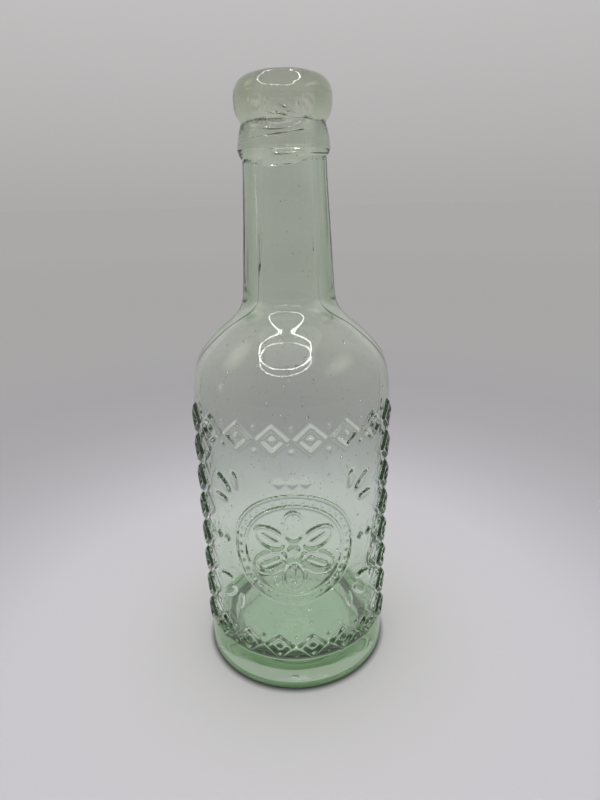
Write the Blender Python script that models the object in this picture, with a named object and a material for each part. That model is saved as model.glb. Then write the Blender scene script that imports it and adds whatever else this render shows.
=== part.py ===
"""A small mineral-water bottle in pale green glass, built up as a bottle maker builds it.

The body is blown in a mould, with its shoulder, neck and pushed-up base in one skin of glass,
and is cracked off the blowpipe at the top of the neck. The finisher then winds hot glass round
that sheared end: a flared collar first, and a heavy blob lip on top of it. The three pieces are
turned about one axis. Lengths are in metres, +Z is up, and the origin is the middle of the
circle that the bottle stands on.
"""

import math

import bmesh
import bpy
from mathutils import Vector
from mathutils.geometry import interpolate_bezier

# The body below the neck
body_radius = 0.0325
mould_draft = 0.0003
shoulder_height = 0.0933
shoulder_rise = 0.0358
wall_at_shoulder = 0.0026
wall_at_heel = 0.0038

# The base that it stands on
heel_round = 0.002
bearing_width = 0.0054
push_up_height = 0.005
base_glass = 0.0078
floor_rise = 0.0042
floor_corner_round = 0.006

# The neck, whose bore widens downwards
neck_root_radius = 0.0143
neck_top_radius = 0.01235
neck_length = 0.0366
bore_root_radius = 0.0079
bore_top_radius = 0.0061

# The sheared end of the neck, which stands inside the finish
sheared_step = 0.00195
sheared_length = 0.0152
seat_gap = 0.0003

# The collar, a flared ring whose lower edge is sharp
collar_flare = 0.0012
collar_top_wall = 0.0016
collar_height = 0.0112
collar_foot_height = 0.0014
collar_flare_height = 0.0033

# The blob lip
lip_foot_wall = 0.0016
lip_swell = 0.00187
lip_height = 0.0126
lip_belly_height = 0.0057
mouth_flare = 0.0005
mouth_round = 0.0012

# The raised design, pressed out by the mould on the front: bold strokes, and finer ones in the field
bold_stroke = 0.0016
bold_relief = 0.0009
fine_stroke = 0.0011
fine_relief = 0.0006
root_depth = 0.0006
draft_share = 0.55

# Its border of lozenges, whose middles run round a rectangle wrapped on the wall
border_half_angle = math.radians(68)
border_foot_height = 0.0185
border_top_margin = 0.0008
lozenge_gap = 0.0006
lozenge_stud_size = 0.0011
lozenges_across = 8
lozenges_up = 8

# Its field: a rosette in two rings, with studs beside it, as wide as the border leaves room for
field_clearance = 0.0006
ring_spacing = 0.0035
petal_clearance = 0.002
boss_radius = 0.0021
petals = 6
field_stud_size = 0.0015
field_stud_spacing = 0.004
field_studs = 3

# How finely the shapes are cut
turn_steps = 60
curve_steps = 4
ring_steps = 36
petal_steps = 12
merge_distance = 0.000001
sharp_angle = math.radians(40)

# Where the shoulder's hollow turns into the hollow at the neck's root, as shares of the way in and up
shoulder_turn_share = (0.577, 0.712)
shoulder_slope = math.radians(45)
bore_turn_share = (0.55, 0.66)
bore_slope = math.radians(49)

# Handle lengths of the shoulder's two curves, as shares of the shoulder's rise
outer_handle_share = (0.408, 0.331, 0.091, 0.168)
inner_handle_share = (0.39, 0.3, 0.12, 0.19)

# Handles of the lip's two curves, as shares of how far each curve goes out and up
lip_foot_handle_share = (0.74, 0.42)
lip_belly_handle_share = (0.45, 0.68)
lip_crown_handle_share = (0.61, 0.05)

# Handle length that makes a cubic curve follow a quarter of an ellipse
quarter_share = 0.5523

# Radii that follow from the sizes above
sheared_radius = neck_top_radius - sheared_step
socket_radius = sheared_radius + seat_gap
collar_radius = neck_top_radius + collar_flare
collar_top_radius = socket_radius + collar_top_wall
lip_foot_radius = socket_radius + lip_foot_wall
lip_radius = lip_foot_radius + lip_swell
mouth_radius = bore_top_radius + mouth_flare

# Heights that follow from the sizes above
neck_root_height = shoulder_height + shoulder_rise
finish_height = neck_root_height + neck_length
sheared_top_height = finish_height + sheared_length
collar_foot = finish_height + seat_gap
collar_top = collar_foot + collar_height
lip_foot = collar_top + seat_gap
lip_top = lip_foot + lip_height

# The layout of the raised design, which follows from the sizes above
border_half_width = border_half_angle * body_radius
border_top_height = shoulder_height - border_top_margin
across_pitch = 2 * border_half_width / (lozenges_across - 1)
up_pitch = (border_top_height - border_foot_height) / (lozenges_up - 1)
lozenge_half_width = (across_pitch - lozenge_gap) / 2
lozenge_half_height = (up_pitch - lozenge_gap) / 2
field_half_width = border_half_width - lozenge_half_width - field_clearance
border_half_height = (border_top_height - border_foot_height) / 2
field_half_height = border_half_height - lozenge_half_height - field_clearance
outer_ring_radius = min(
    field_half_width - field_studs * field_stud_spacing - field_stud_size,
    field_half_height - field_stud_spacing - field_stud_size,
)
inner_ring_radius = outer_ring_radius - ring_spacing
rosette_height = border_foot_height + border_half_height


def curve(start, start_handle, end_handle, end, steps=curve_steps):
    """Points of a cubic curve after its start, as (radius, height)."""
    knots = [Vector(knot) for knot in (start, start_handle, end_handle, end)]
    return [tuple(point) for point in interpolate_bezier(*knots, steps + 1)][1:]


def quarter(start, corner, end, steps=curve_steps):
    """A quarter of an ellipse from start to end, whose two tangents meet at the corner."""
    start_handle = [a + quarter_share * (b - a) for a, b in zip(start, corner)]
    end_handle = [a + quarter_share * (b - a) for a, b in zip(end, corner)]
    return curve(start, start_handle, end_handle, end, steps)


def shoulder(foot, top, turn_share, slope, handle_share):
    """Points of a shoulder that rounds in from the wall at its foot, and flares out of the neck."""
    turn = tuple(low + share * (high - low) for low, high, share in zip(foot, top, turn_share))
    rise = top[1] - foot[1]
    foot_handle, lower_handle, upper_handle, top_handle = (share * rise for share in handle_share)
    inward, upward = math.sin(slope), math.cos(slope)
    rounded = curve(
        foot,
        (foot[0], foot[1] + foot_handle),
        (turn[0] + lower_handle * inward, turn[1] - lower_handle * upward),
        turn,
        2 * curve_steps,
    )
    flared = curve(
        turn,
        (turn[0] - upper_handle * inward, turn[1] + upper_handle * upward),
        (top[0], top[1] - top_handle),
        top,
    )
    return rounded + flared


def body_outside():
    """The outside of the body, from the middle of the push-up to the sheared end's rim."""
    foot_radius = body_radius - mould_draft
    bearing_outer = foot_radius - heel_round
    bearing_inner = bearing_outer - bearing_width
    half_way = bearing_inner / 2
    wall_foot = (foot_radius, heel_round)
    wall_top = (body_radius, shoulder_height)
    neck_root = (neck_root_radius, neck_root_height)
    points = [(0, push_up_height)]
    points += curve(
        points[-1],
        (half_way, push_up_height),
        (bearing_inner - half_way / 2, 0),
        (bearing_inner, 0),
    )
    points.append((bearing_outer, 0))
    points += quarter(points[-1], (foot_radius, 0), wall_foot)
    points.append(wall_top)
    points += shoulder(
        wall_top, neck_root, shoulder_turn_share, shoulder_slope, outer_handle_share
    )
    points.append((neck_top_radius, finish_height))
    points.append((sheared_radius, finish_height))
    points.append((sheared_radius, sheared_top_height))
    return points


def body_inside():
    """The inside of the body, from the floor's middle up to the bore's upper end."""
    heel_inner = body_radius - wall_at_heel
    floor_edge = heel_inner - floor_corner_round
    wall_foot = (heel_inner, base_glass + floor_corner_round)
    wall_top = (body_radius - wall_at_shoulder, shoulder_height)
    bore_root = (bore_root_radius, neck_root_height)
    half_way = floor_edge / 2
    points = [(0, base_glass + floor_rise)]
    points += curve(
        points[-1],
        (half_way, base_glass + floor_rise),
        (half_way, base_glass),
        (floor_edge, base_glass),
    )
    points += quarter(points[-1], (heel_inner, base_glass), wall_foot)
    points.append(wall_top)
    points += shoulder(wall_top, bore_root, bore_turn_share, bore_slope, inner_handle_share)
    points.append((bore_top_radius, sheared_top_height))
    return points


def collar_outline():
    """The collar's closed outline: a foot on the neck, the sharp flared edge, and a drawn-in top."""
    foot_edge = collar_foot + collar_foot_height
    flare_edge = foot_edge + collar_flare_height
    edge = (collar_radius, flare_edge)
    top = (collar_top_radius, collar_top)
    points = [(socket_radius, collar_foot), (neck_top_radius, collar_foot)]
    points.append((neck_top_radius + seat_gap / 2, foot_edge))
    points.append(edge)
    side_height = collar_top - flare_edge
    side_taper = collar_radius - collar_top_radius
    points += curve(
        edge,
        (collar_radius, flare_edge + side_height / 3),
        (collar_top_radius + side_taper / 3, collar_top - side_height / 4),
        top,
    )
    points.append((socket_radius, collar_top))
    points.append(points[0])
    return points


def lip_outline():
    """The lip's closed outline: its socket on the sheared end, its bore, and its round outside."""
    socket_top = sheared_top_height + seat_gap
    belly = (lip_radius, lip_foot + lip_belly_height)
    crown = (mouth_radius + mouth_round, lip_top)
    mouth_edge = (mouth_radius, lip_top - mouth_round)
    swell = lip_radius - lip_foot_radius
    dome_width = lip_radius - crown[0]
    dome_height = lip_top - belly[1]
    out_share, up_share = lip_foot_handle_share
    belly_down_share, belly_up_share = lip_belly_handle_share
    crown_out_share, crown_down_share = lip_crown_handle_share
    points = [(socket_radius, lip_foot), (lip_foot_radius, lip_foot)]
    points += curve(
        points[-1],
        (lip_foot_radius + out_share * swell, lip_foot + up_share * lip_belly_height),
        (lip_radius, belly[1] - belly_down_share * lip_belly_height),
        belly,
    )
    points += curve(
        belly,
        (lip_radius, belly[1] + belly_up_share * dome_height),
        (crown[0] + crown_out_share * dome_width, lip_top - crown_down_share * dome_height),
        crown,
        2 * curve_steps,
    )
    points += quarter(crown, (mouth_radius, lip_top), mouth_edge)
    points.append((bore_top_radius, mouth_edge[1] - 2 * mouth_round))
    points.append((bore_top_radius, socket_top))
    points.append((socket_radius, socket_top))
    points.append(points[0])
    return points


def on_wall(across, up, radius):
    """The point at a height and at a distance across the front, wrapped round the axis."""
    angle = across / body_radius
    return (radius * math.sin(angle), -radius * math.cos(angle), up)


def wrapped_ring(shape, path, relief):
    """The root and top corners of a closed path, each as a list, on the wall and on its relief."""
    root_radius = body_radius - root_depth
    return [
        [shape.verts.new(on_wall(across, up, radius)) for across, up in line]
        for line, radius in zip(path, (root_radius, body_radius + relief))
    ]


def offset(path, distance):
    """A closed path moved to its left by a distance, with its corners mitred."""
    moved = []
    for before, here, after in zip(path[-1:] + path[:-1], path, path[1:] + path[:1]):
        came = (Vector(here) - Vector(before)).normalized()
        goes = (Vector(after) - Vector(here)).normalized()
        left = Vector((-came.y - goes.y, came.x + goes.x))
        moved.append(tuple(Vector(here) + left * distance / (1 + came.dot(goes))))
    return moved


def raised_loop(shape, path, stroke, relief):
    """A closed stroke along a path, broad at its root and narrower at its top."""
    half = stroke / 2
    left_root, left_top = wrapped_ring(
        shape, (offset(path, half), offset(path, half * draft_share)), relief
    )
    right_root, right_top = wrapped_ring(
        shape, (offset(path, -half), offset(path, -half * draft_share)), relief
    )
    lines = (left_root, left_top, right_top, right_root)
    for line, next_line in zip(lines, lines[1:] + lines[:1]):
        for corner in range(len(path)):
            after = (corner + 1) % len(path)
            shape.faces.new((line[corner], line[after], next_line[after], next_line[corner]))


def raised_stud(shape, outline, relief):
    """A stud with a convex outline, drawn in towards its top."""
    count = len(outline)
    middle = [sum(values) / count for values in zip(*outline)]
    drawn_in = [
        tuple(m + draft_share * (value - m) for m, value in zip(middle, corner))
        for corner in outline
    ]
    root, top = wrapped_ring(shape, (outline, drawn_in), relief)
    shape.faces.new(root)
    shape.faces.new(top)
    for corner in range(count):
        after = (corner + 1) % count
        shape.faces.new((root[corner], root[after], top[after], top[corner]))


def oval(across, up, half_width, half_height, steps, tilt=0):
    """A closed oval path, or a lozenge when it has four steps, turned by its tilt."""
    points = []
    for step in range(steps):
        angle = math.tau * step / steps
        x, y = half_width * math.sin(angle), half_height * math.cos(angle)
        points.append(
            (
                across + x * math.cos(tilt) + y * math.sin(tilt),
                up + y * math.cos(tilt) - x * math.sin(tilt),
            )
        )
    return points


def border_places():
    """Middles of the border's lozenges: two full rows, and what stands between them at the sides."""
    rows = [
        (column * across_pitch - border_half_width, up)
        for up in (border_foot_height, border_top_height)
        for column in range(lozenges_across)
    ]
    sides = [
        (side * border_half_width, border_foot_height + row * up_pitch)
        for side in (-1, 1)
        for row in range(1, lozenges_up - 1)
    ]
    return rows + sides


def rosette(shape):
    """Two rings round a flower with a boss in its middle, whose oval petals fill their wedges."""
    for radius in (outer_ring_radius, inner_ring_radius):
        ring = oval(0, rosette_height, radius, radius, ring_steps)
        raised_loop(shape, ring, fine_stroke, fine_relief)
    petal_inner = boss_radius + fine_stroke
    petal_outer = inner_ring_radius - petal_clearance
    petal_middle = (petal_inner + petal_outer) / 2
    petal_half_length = petal_outer - petal_middle
    half_wedge = math.pi / petals
    room = petal_middle * math.sin(half_wedge) - fine_stroke
    reach = petal_half_length * math.sin(half_wedge)
    petal_half_width = math.sqrt(room**2 - reach**2) / math.cos(half_wedge)
    for petal in range(petals):
        tilt = math.tau * petal / petals
        leaf = oval(
            petal_middle * math.sin(tilt),
            rosette_height + petal_middle * math.cos(tilt),
            petal_half_width,
            petal_half_length,
            petal_steps,
            tilt,
        )
        raised_loop(shape, leaf, fine_stroke, fine_relief)
    boss = oval(0, rosette_height, boss_radius, boss_radius, petal_steps)
    raised_stud(shape, boss, fine_relief)


def field_studs_beside(shape):
    """Short rows of studs: one on each side of the rosette, one above it and one below."""
    for side in (-1, 1):
        for stud in range(field_studs):
            outward = side * (outer_ring_radius + (stud + 1) * field_stud_spacing)
            along = (stud - (field_studs - 1) / 2) * field_stud_spacing
            above = side * (outer_ring_radius + field_stud_spacing)
            for across, up in ((outward, 0), (along, above)):
                outline = oval(across, rosette_height + up, field_stud_size, field_stud_size, 4)
                raised_stud(shape, outline, fine_relief)


def raised_design():
    """A hidden mesh of all the raised strokes and studs, each reaching a little into the glass."""
    shape = bmesh.new()
    for across, up in border_places():
        outline = oval(across, up, lozenge_half_width, lozenge_half_height, 4)
        raised_loop(shape, offset(outline, -bold_stroke / 2), bold_stroke, bold_relief)
        raised_stud(shape, oval(across, up, lozenge_stud_size, lozenge_stud_size, 4), bold_relief)
    rosette(shape)
    field_studs_beside(shape)
    bmesh.ops.recalc_face_normals(shape, faces=shape.faces)
    mesh = bpy.data.meshes.new("raised_design")
    shape.to_mesh(mesh)
    shape.free()
    helper = bpy.data.objects.new("raised_design", mesh)
    bpy.context.scene.collection.objects.link(helper)
    helper.hide_render = True
    helper.display_type = "WIRE"
    return helper


def glass(name, colour, roughness):
    """Clear coloured glass as a Principled material."""
    material = bpy.data.materials.new(name)
    material.use_nodes = True
    shader = material.node_tree.nodes["Principled BSDF"]
    shader.inputs["Base Color"].default_value = (*colour, 1)
    shader.inputs["Roughness"].default_value = roughness
    shader.inputs["Metallic"].default_value = 0
    shader.inputs["IOR"].default_value = 1.52
    shader.inputs["Transmission Weight"].default_value = 1
    return material


def turned(name, outline, material):
    """Spins an outline of (radius, height) points a full turn about the bottle's axis."""
    shape = bmesh.new()
    corners = [shape.verts.new((radius, 0, height)) for radius, height in outline]
    edges = [shape.edges.new(pair) for pair in zip(corners, corners[1:])]
    bmesh.ops.spin(
        shape, geom=corners + edges, cent=(0, 0, 0), axis=(0, 0, 1), angle=math.tau, steps=turn_steps
    )
    bmesh.ops.remove_doubles(shape, verts=shape.verts, dist=merge_distance)
    bmesh.ops.recalc_face_normals(shape, faces=shape.faces)
    mesh = bpy.data.meshes.new(name)
    shape.to_mesh(mesh)
    shape.free()
    mesh.shade_smooth()
    mesh.set_sharp_from_angle(angle=sharp_angle)
    mesh.materials.append(material)
    piece = bpy.data.objects.new(name, mesh)
    bpy.context.scene.collection.objects.link(piece)
    return piece


for leftover in list(bpy.data.objects):
    bpy.data.objects.remove(leftover)

body_glass = glass("body_glass", (0.72, 0.86, 0.74), 0.03)
collar_glass = glass("collar_glass", (0.74, 0.84, 0.7), 0.05)
lip_glass = glass("lip_glass", (0.74, 0.84, 0.7), 0.06)

body = turned("glass_body", body_outside() + body_inside()[::-1], body_glass)
press = body.modifiers.new("raised_design", "BOOLEAN")
press.operation = "UNION"
press.object = raised_design()

turned("applied_collar", collar_outline(), collar_glass)
turned("applied_lip", lip_outline(), lip_glass)
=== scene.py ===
# %% [markdown]
# # A small mineral-water bottle in pale green glass
# Three gathers of glass make this bottle. The body is blown in a two-part mould, which presses the
# raised design into its front. A collar and a blob lip are then wound on by hand, still soft, round
# the sheared end of the neck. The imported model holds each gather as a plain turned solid. Here each
# one gets a finer skin of its own, because glass shows every ripple of its surface by what it bends.

import bpy
import numpy as np
from mathutils import Matrix, Vector


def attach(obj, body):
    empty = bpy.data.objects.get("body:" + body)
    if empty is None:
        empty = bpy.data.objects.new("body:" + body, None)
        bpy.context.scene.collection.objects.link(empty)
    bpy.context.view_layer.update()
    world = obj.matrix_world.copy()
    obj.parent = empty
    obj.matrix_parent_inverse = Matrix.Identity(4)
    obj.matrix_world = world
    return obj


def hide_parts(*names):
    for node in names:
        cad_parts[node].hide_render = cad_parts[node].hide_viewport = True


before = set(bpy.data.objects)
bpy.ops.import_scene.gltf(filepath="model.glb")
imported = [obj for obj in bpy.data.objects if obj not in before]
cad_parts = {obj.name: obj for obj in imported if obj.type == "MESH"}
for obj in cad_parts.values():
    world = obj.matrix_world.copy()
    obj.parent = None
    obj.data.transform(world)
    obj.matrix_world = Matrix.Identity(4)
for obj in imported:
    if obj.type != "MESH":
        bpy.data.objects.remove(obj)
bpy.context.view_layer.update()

print("nodes in the packed model:", sorted(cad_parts))

# %% [markdown]
# ## Sizes
# Everything is in metres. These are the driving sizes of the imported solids, repeated here so that
# the finer skins follow the same outlines. The finish is measured up from the top of the neck, as a
# finisher would gauge it. A few sizes of the base and of the heel differ a little from the solids'
# own: they were fitted to what is seen through the thick foot.

# %% Sizes of the body
body_radius = 0.0325
mould_draft = 0.0003
shoulder_height = 0.0933
shoulder_rise = 0.0358
wall_at_shoulder = 0.0026
wall_at_heel = 0.0038
heel_round = 0.0014
bearing_width = 0.0042
push_up_height = 0.0049
push_up_flat = 0.012
rim_run = 0.006
rim_rise = 0.0019
softening_reach = 0.002
softening_step = 0.0002
base_glass = 0.0076
floor_rise = 0.0042
floor_corner_round = 0.0077
floor_corner_rise = 0.0105
neck_root_radius = 0.0143
neck_top_radius = 0.01235
neck_length = 0.0366
bore_root_radius = 0.0079
bore_top_radius = 0.0061
neck_root_height = shoulder_height + shoulder_rise
finish_height = neck_root_height + neck_length

# %% Sizes of the finish
fused_gap = 0.00005
seat_gap = 0.0003
sheared_radius = neck_top_radius - 0.00195 + seat_gap / 2
sheared_top = finish_height + 0.0152 + seat_gap / 2
collar_foot = finish_height + seat_gap / 2
flare_height = finish_height + 0.0047
flare_radius = neck_top_radius + 0.0012
crease_height = finish_height + 0.0115 + seat_gap / 2
crease_radius = 0.0123
belly_height = finish_height + 0.0175
lip_radius = 0.01417
lip_top = finish_height + 0.0244
mouth_radius = 0.0066
mouth_round = 0.0012
print("height", round(lip_top, 4), "body", 2 * body_radius, "lip", 2 * lip_radius)

# %% [markdown]
# ## Outlines
# A turned piece begins as an outline of (radius, height). Straight runs need two points, and the
# round ones are cubic curves, which a drawing program calls pen curves. A shoulder like this one is
# two of them: one rounds in from the wall, and the other flares out of the neck.

# %% Curves for an outline
quarter_share = 0.5523


def cubic(start, start_handle, end_handle, end, steps=48):
    """(1-t)^3 start + 3(1-t)^2 t handle + 3(1-t) t^2 handle + t^3 end, for t after 0 up to 1."""
    t = np.linspace(0, 1, steps + 1)[1:, None]
    knots = [np.asarray(knot, float) for knot in (start, start_handle, end_handle, end)]
    weights = (1 - t) ** 3, 3 * (1 - t) ** 2 * t, 3 * (1 - t) * t**2, t**3
    return sum(weight * knot for weight, knot in zip(weights, knots))


def quarter(start, corner, end):
    """A quarter of an ellipse from start to end, with both tangents aimed at the corner."""
    start, corner, end = (np.asarray(knot, float) for knot in (start, corner, end))
    first, second = (knot + quarter_share * (corner - knot) for knot in (start, end))
    return cubic(start, first, second, end)


def shoulder(foot, top, turn_share, slope, handle_share):
    """Two cubics that meet at a turning point, where both run inwards and upwards at one slope."""
    foot, top = np.array(foot), np.array(top)
    turn = foot + np.array(turn_share) * (top - foot)
    first, second, third, fourth = np.array(handle_share) * (top[1] - foot[1])
    way = np.array((-np.sin(slope), np.cos(slope)))
    rounded = cubic(foot, foot + (0, first), turn - second * way, turn)
    flared = cubic(turn, turn + third * way, top - (0, fourth), top)
    return np.vstack((rounded, flared))


def softened(outline, reach, step):
    """The outline in equal steps, averaged along its length with the weight exp(-(s/reach)^2)."""
    run = np.concatenate(([0], np.cumsum(np.linalg.norm(np.diff(outline, axis=0), axis=1))))
    places = np.linspace(0, run[-1], int(run[-1] / step))
    even = np.column_stack([np.interp(places, run, outline[:, axis]) for axis in (0, 1)])
    side = int(3 * reach / step)
    weights = np.exp(-((np.arange(-side, side + 1) * step / reach) ** 2))
    padded = np.pad(even, ((side, side), (0, 0)), mode="reflect", reflect_type="odd")
    weights /= weights.sum()
    return np.column_stack([np.convolve(padded[:, axis], weights, "valid") for axis in (0, 1)])


# %% Outlines of the body
outer_shares = ((0.577, 0.712), np.radians(45), (0.408, 0.331, 0.091, 0.168))
inner_shares = ((0.55, 0.66), np.radians(49), (0.39, 0.3, 0.12, 0.19))
foot_radius = body_radius - mould_draft
bearing_outer = foot_radius - heel_round
bearing_inner = bearing_outer - bearing_width
wall_top = (body_radius, shoulder_height)
neck_root = (neck_root_radius, neck_root_height)

under_middle, under_edge = (0, push_up_height), (bearing_inner, 0)
under_handles = (push_up_flat, push_up_height), (bearing_inner - rim_run, rim_rise)
under_outline = np.vstack((under_middle, cubic(under_middle, *under_handles, under_edge)))
shoulder_curves = shoulder(wall_top, neck_root, *outer_shares)
neck_top = (neck_top_radius, finish_height)
wall_outline = np.vstack(
    (
        (bearing_outer, 0),
        quarter((bearing_outer, 0), (foot_radius, 0), (foot_radius, heel_round)),
        softened(np.vstack((wall_top, shoulder_curves, neck_top)), softening_reach, softening_step),
    )
)

heel_inner = body_radius - wall_at_heel
floor_edge = heel_inner - floor_corner_round
corner_top = (heel_inner, base_glass + floor_corner_rise)
inner_top = (body_radius - wall_at_shoulder, shoulder_height)
bore_root = (bore_root_radius, neck_root_height)
floor_outline = np.vstack(
    (
        (0, base_glass + floor_rise),
        cubic(
            (0, base_glass + floor_rise),
            (floor_edge / 2, base_glass + floor_rise),
            (floor_edge / 2, base_glass),
            (floor_edge, base_glass),
        ),
        quarter((floor_edge, base_glass), (heel_inner, base_glass), corner_top),
    )
)
cavity_outline = np.vstack(
    (
        floor_outline[-1],
        inner_top,
        shoulder(inner_top, bore_root, *inner_shares),
        (bore_top_radius, sheared_top),
    )
)
print("points in the wall's outline:", len(wall_outline))

# %% [markdown]
# ## Even steps along an outline
# The raised design needs rows of points about half a millimetre apart, and the plain neck needs
# far fewer. So an outline is walked by its length, with its own step between marked heights.

# %% Walk an outline


def run_along(outline):
    """The distance walked from the outline's start to each of its points."""
    steps = np.linalg.norm(np.diff(outline, axis=0), axis=1)
    return np.concatenate(([0], np.cumsum(steps)))


def evenly(outline, step):
    """The outline again, in equal steps close to the one that is asked for."""
    run = run_along(outline)
    places = np.linspace(0, run[-1], max(int(round(run[-1] / step)), 1) + 1)
    return np.column_stack([np.interp(places, run, outline[:, axis]) for axis in (0, 1)])


def by_height(outline, heights, steps):
    """A rising outline again, with one step between each pair of marked heights."""
    run = run_along(outline)
    stops = np.interp(heights, outline[:, 1], run)
    legs = [
        np.linspace(start, stop, max(int(round((stop - start) / step)), 1), endpoint=False)
        for start, stop, step in zip(stops, stops[1:], steps)
    ]
    places = np.append(np.concatenate(legs), stops[-1])
    return np.column_stack([np.interp(places, run, outline[:, axis]) for axis in (0, 1)])


# %% [markdown]
# ## Where the columns stand
# Azimuth 0 is the front. The columns crowd together over the raised front, stand in a tight group
# of five on each mould seam, and spread out over the plain back. Away from the raised design every
# second column is enough.

# %% Azimuths of the columns
front_limit = np.radians(78)
seam_half = np.radians(0.9)
front_columns = np.linspace(-front_limit, front_limit, 231)
seam_columns = np.pi / 2 + seam_half * np.linspace(-1, 1, 5)
side_columns = np.radians(np.arange(80, 89, 2))
back_columns = np.radians(np.arange(92, 181, 4))
right_columns = np.concatenate((side_columns, seam_columns, back_columns))
left_columns = 2 * np.pi - right_columns[-2::-1]
fine_columns = np.concatenate((front_columns, right_columns, left_columns))
coarse_columns = fine_columns[::2]
print("columns:", len(fine_columns), "fine,", len(coarse_columns), "coarse")

# %% [markdown]
# ## Hand-made unevenness
# Mouth-blown glass is never true. Its walls swell and thin slowly, its axis leans a little, and its
# neck keeps upright streaks from being drawn out. A few cosines with drawn-by-lot turns and lengths
# give that slow swell, and the seed keeps it the same every time. Four small helpers say where a
# swell or a line begins and ends.

# %% Slow swells and the leaning axis
drift_heights = (0, 0.11, 0.15, 0.168, 0.174, 0.185)
drift_sideways = (0.00012, 0.00025, 0.00015, -0.0001, -0.0002, -0.00012)


def ease(value, start, end):
    """0 before start, 1 after end and 3t^2 - 2t^3 between them."""
    t = np.clip((value - start) / (end - start), 0, 1)
    return t * t * (3 - 2 * t)


def between(value, start, full, fading, gone):
    """Eases from 0 at start to 1 at full, and back from 1 at fading to 0 at gone."""
    return ease(value, start, full) * (1 - ease(value, fading, gone))


def mound(value, middle, reach, power=2):
    """exp(-((value - middle) / reach)^power): 1 at the middle, and 1/e one reach away."""
    return np.exp(-(((value - middle) / reach) ** power))


def wrapped(azimuth):
    """The azimuth brought to the turn from -pi to pi, with 0 at the front."""
    return (azimuth + np.pi) % (2 * np.pi) - np.pi


def swell(azimuth, height, seed, size, turns, lengths, count=9):
    """size times the sum of cos(m a + 2 pi z / L + phase), over the square root of the count."""
    lot = np.random.default_rng(seed)
    m = lot.integers(turns[0], turns[1] + 1, count)
    length = lot.uniform(*lengths, count) * lot.choice((-1, 1), count)
    phase = lot.uniform(0, 2 * np.pi, count)
    waves = np.cos(azimuth[..., None] * m + 2 * np.pi * height[..., None] / length + phase)
    return size * waves.sum(-1) / np.sqrt(count)


def turned(outline, azimuths, swollen=None, lifted=None):
    """x = r sin a + drift(z), y = -r cos a, z = height, with r and z changed by the two functions."""
    azimuth, radius = np.meshgrid(azimuths, outline[:, 0])
    height = np.repeat(outline[:, 1:], len(azimuths), axis=1)
    if swollen is not None:
        radius = radius + swollen(azimuth, height) * np.minimum(radius / neck_top_radius, 1)
    if lifted is not None:
        height = height + lifted(azimuth, height)
    drift = np.interp(height, drift_heights, drift_sideways)
    return np.stack((radius * np.sin(azimuth) + drift, -radius * np.cos(azimuth), height), axis=-1)


# %% [markdown]
# ## The raised design
# The mould is cut with a border of lozenges round a rosette, and the glass fills the cuts. It could
# be built from bars and joined on, but glass leaves a mould with soft flanks that run into the wall.
# So the design is a map of heights instead: every point of the wall gets a height by how far it is
# from the middle of the nearest stroke.

# %% Strokes and studs as heights
bold_stroke = 0.0016
bold_relief = 0.0009
fine_stroke = 0.0011
fine_relief = 0.0006
flank_share = 0.6
stud_flank = (-0.0004, 0.0002)


def stroke(distance, width, relief):
    """Full height at the middle of a stroke, easing to nothing just outside half its width."""
    half = width / 2
    return relief * (1 - ease(np.abs(distance), half * (1 - flank_share), half * (1 + flank_share / 3)))


def lozenge_distance(x, y, half_width, half_height):
    """(|x|/w + |y|/h - 1) times w h / sqrt(w^2 + h^2), the signed distance to a lozenge's side."""
    side = np.hypot(half_width, half_height)
    return (np.abs(x) / half_width + np.abs(y) / half_height - 1) * half_width * half_height / side


def oval_distance(x, y, half_width, half_height):
    """The distance along a ray from the middle to an oval, |p| (1 - 1/k) with k = |(x/w, y/h)|."""
    k = np.maximum(np.hypot(x / half_width, y / half_height), 1e-6)
    return np.hypot(x, y) * (1 - 1 / k)


def stud(distance, relief):
    """A stud: full height well inside its side, easing to nothing just outside it."""
    return relief * (1 - ease(distance, *stud_flank))


# %% [markdown]
# The border is two rows and two columns of lozenges that share their corners. Folding each strip
# onto its nearest lozenge gives all of them at once, with no loop over the copies.

# %% The border of lozenges
border_half_turn = np.radians(68)
border_half_width = border_half_turn * body_radius
border_foot = 0.0185
border_clearance = 0.0008
border_top = shoulder_height - border_clearance
lozenge_gap = 0.0006
lozenge_stud = 0.0013
notch_bead = 0.0006
notch_share = 0.72
lozenges = 8
across_pitch = 2 * border_half_width / (lozenges - 1)
up_pitch = (border_top - border_foot) / (lozenges - 1)
lozenge_half_width = (across_pitch - lozenge_gap) / 2
lozenge_half_height = (up_pitch - lozenge_gap) / 2


def folded(value, first, pitch):
    """The offset from the nearest of the border's evenly spaced middles."""
    place = np.clip(np.round((value - first) / pitch), 0, lozenges - 1)
    return value - first - place * pitch


def lozenge(x, y):
    """One lozenge: a bold outline drawn just inside its half sizes, with a stud in its middle."""
    outline = lozenge_distance(x, y, lozenge_half_width, lozenge_half_height) + bold_stroke / 2
    middle = lozenge_distance(x, y, lozenge_stud, lozenge_stud)
    return np.maximum(stroke(outline, bold_stroke, bold_relief), stud(middle, bold_relief))


def bead(x, y, radius, relief):
    """A round bead."""
    return stud(np.hypot(x, y) - radius, relief)


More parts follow.
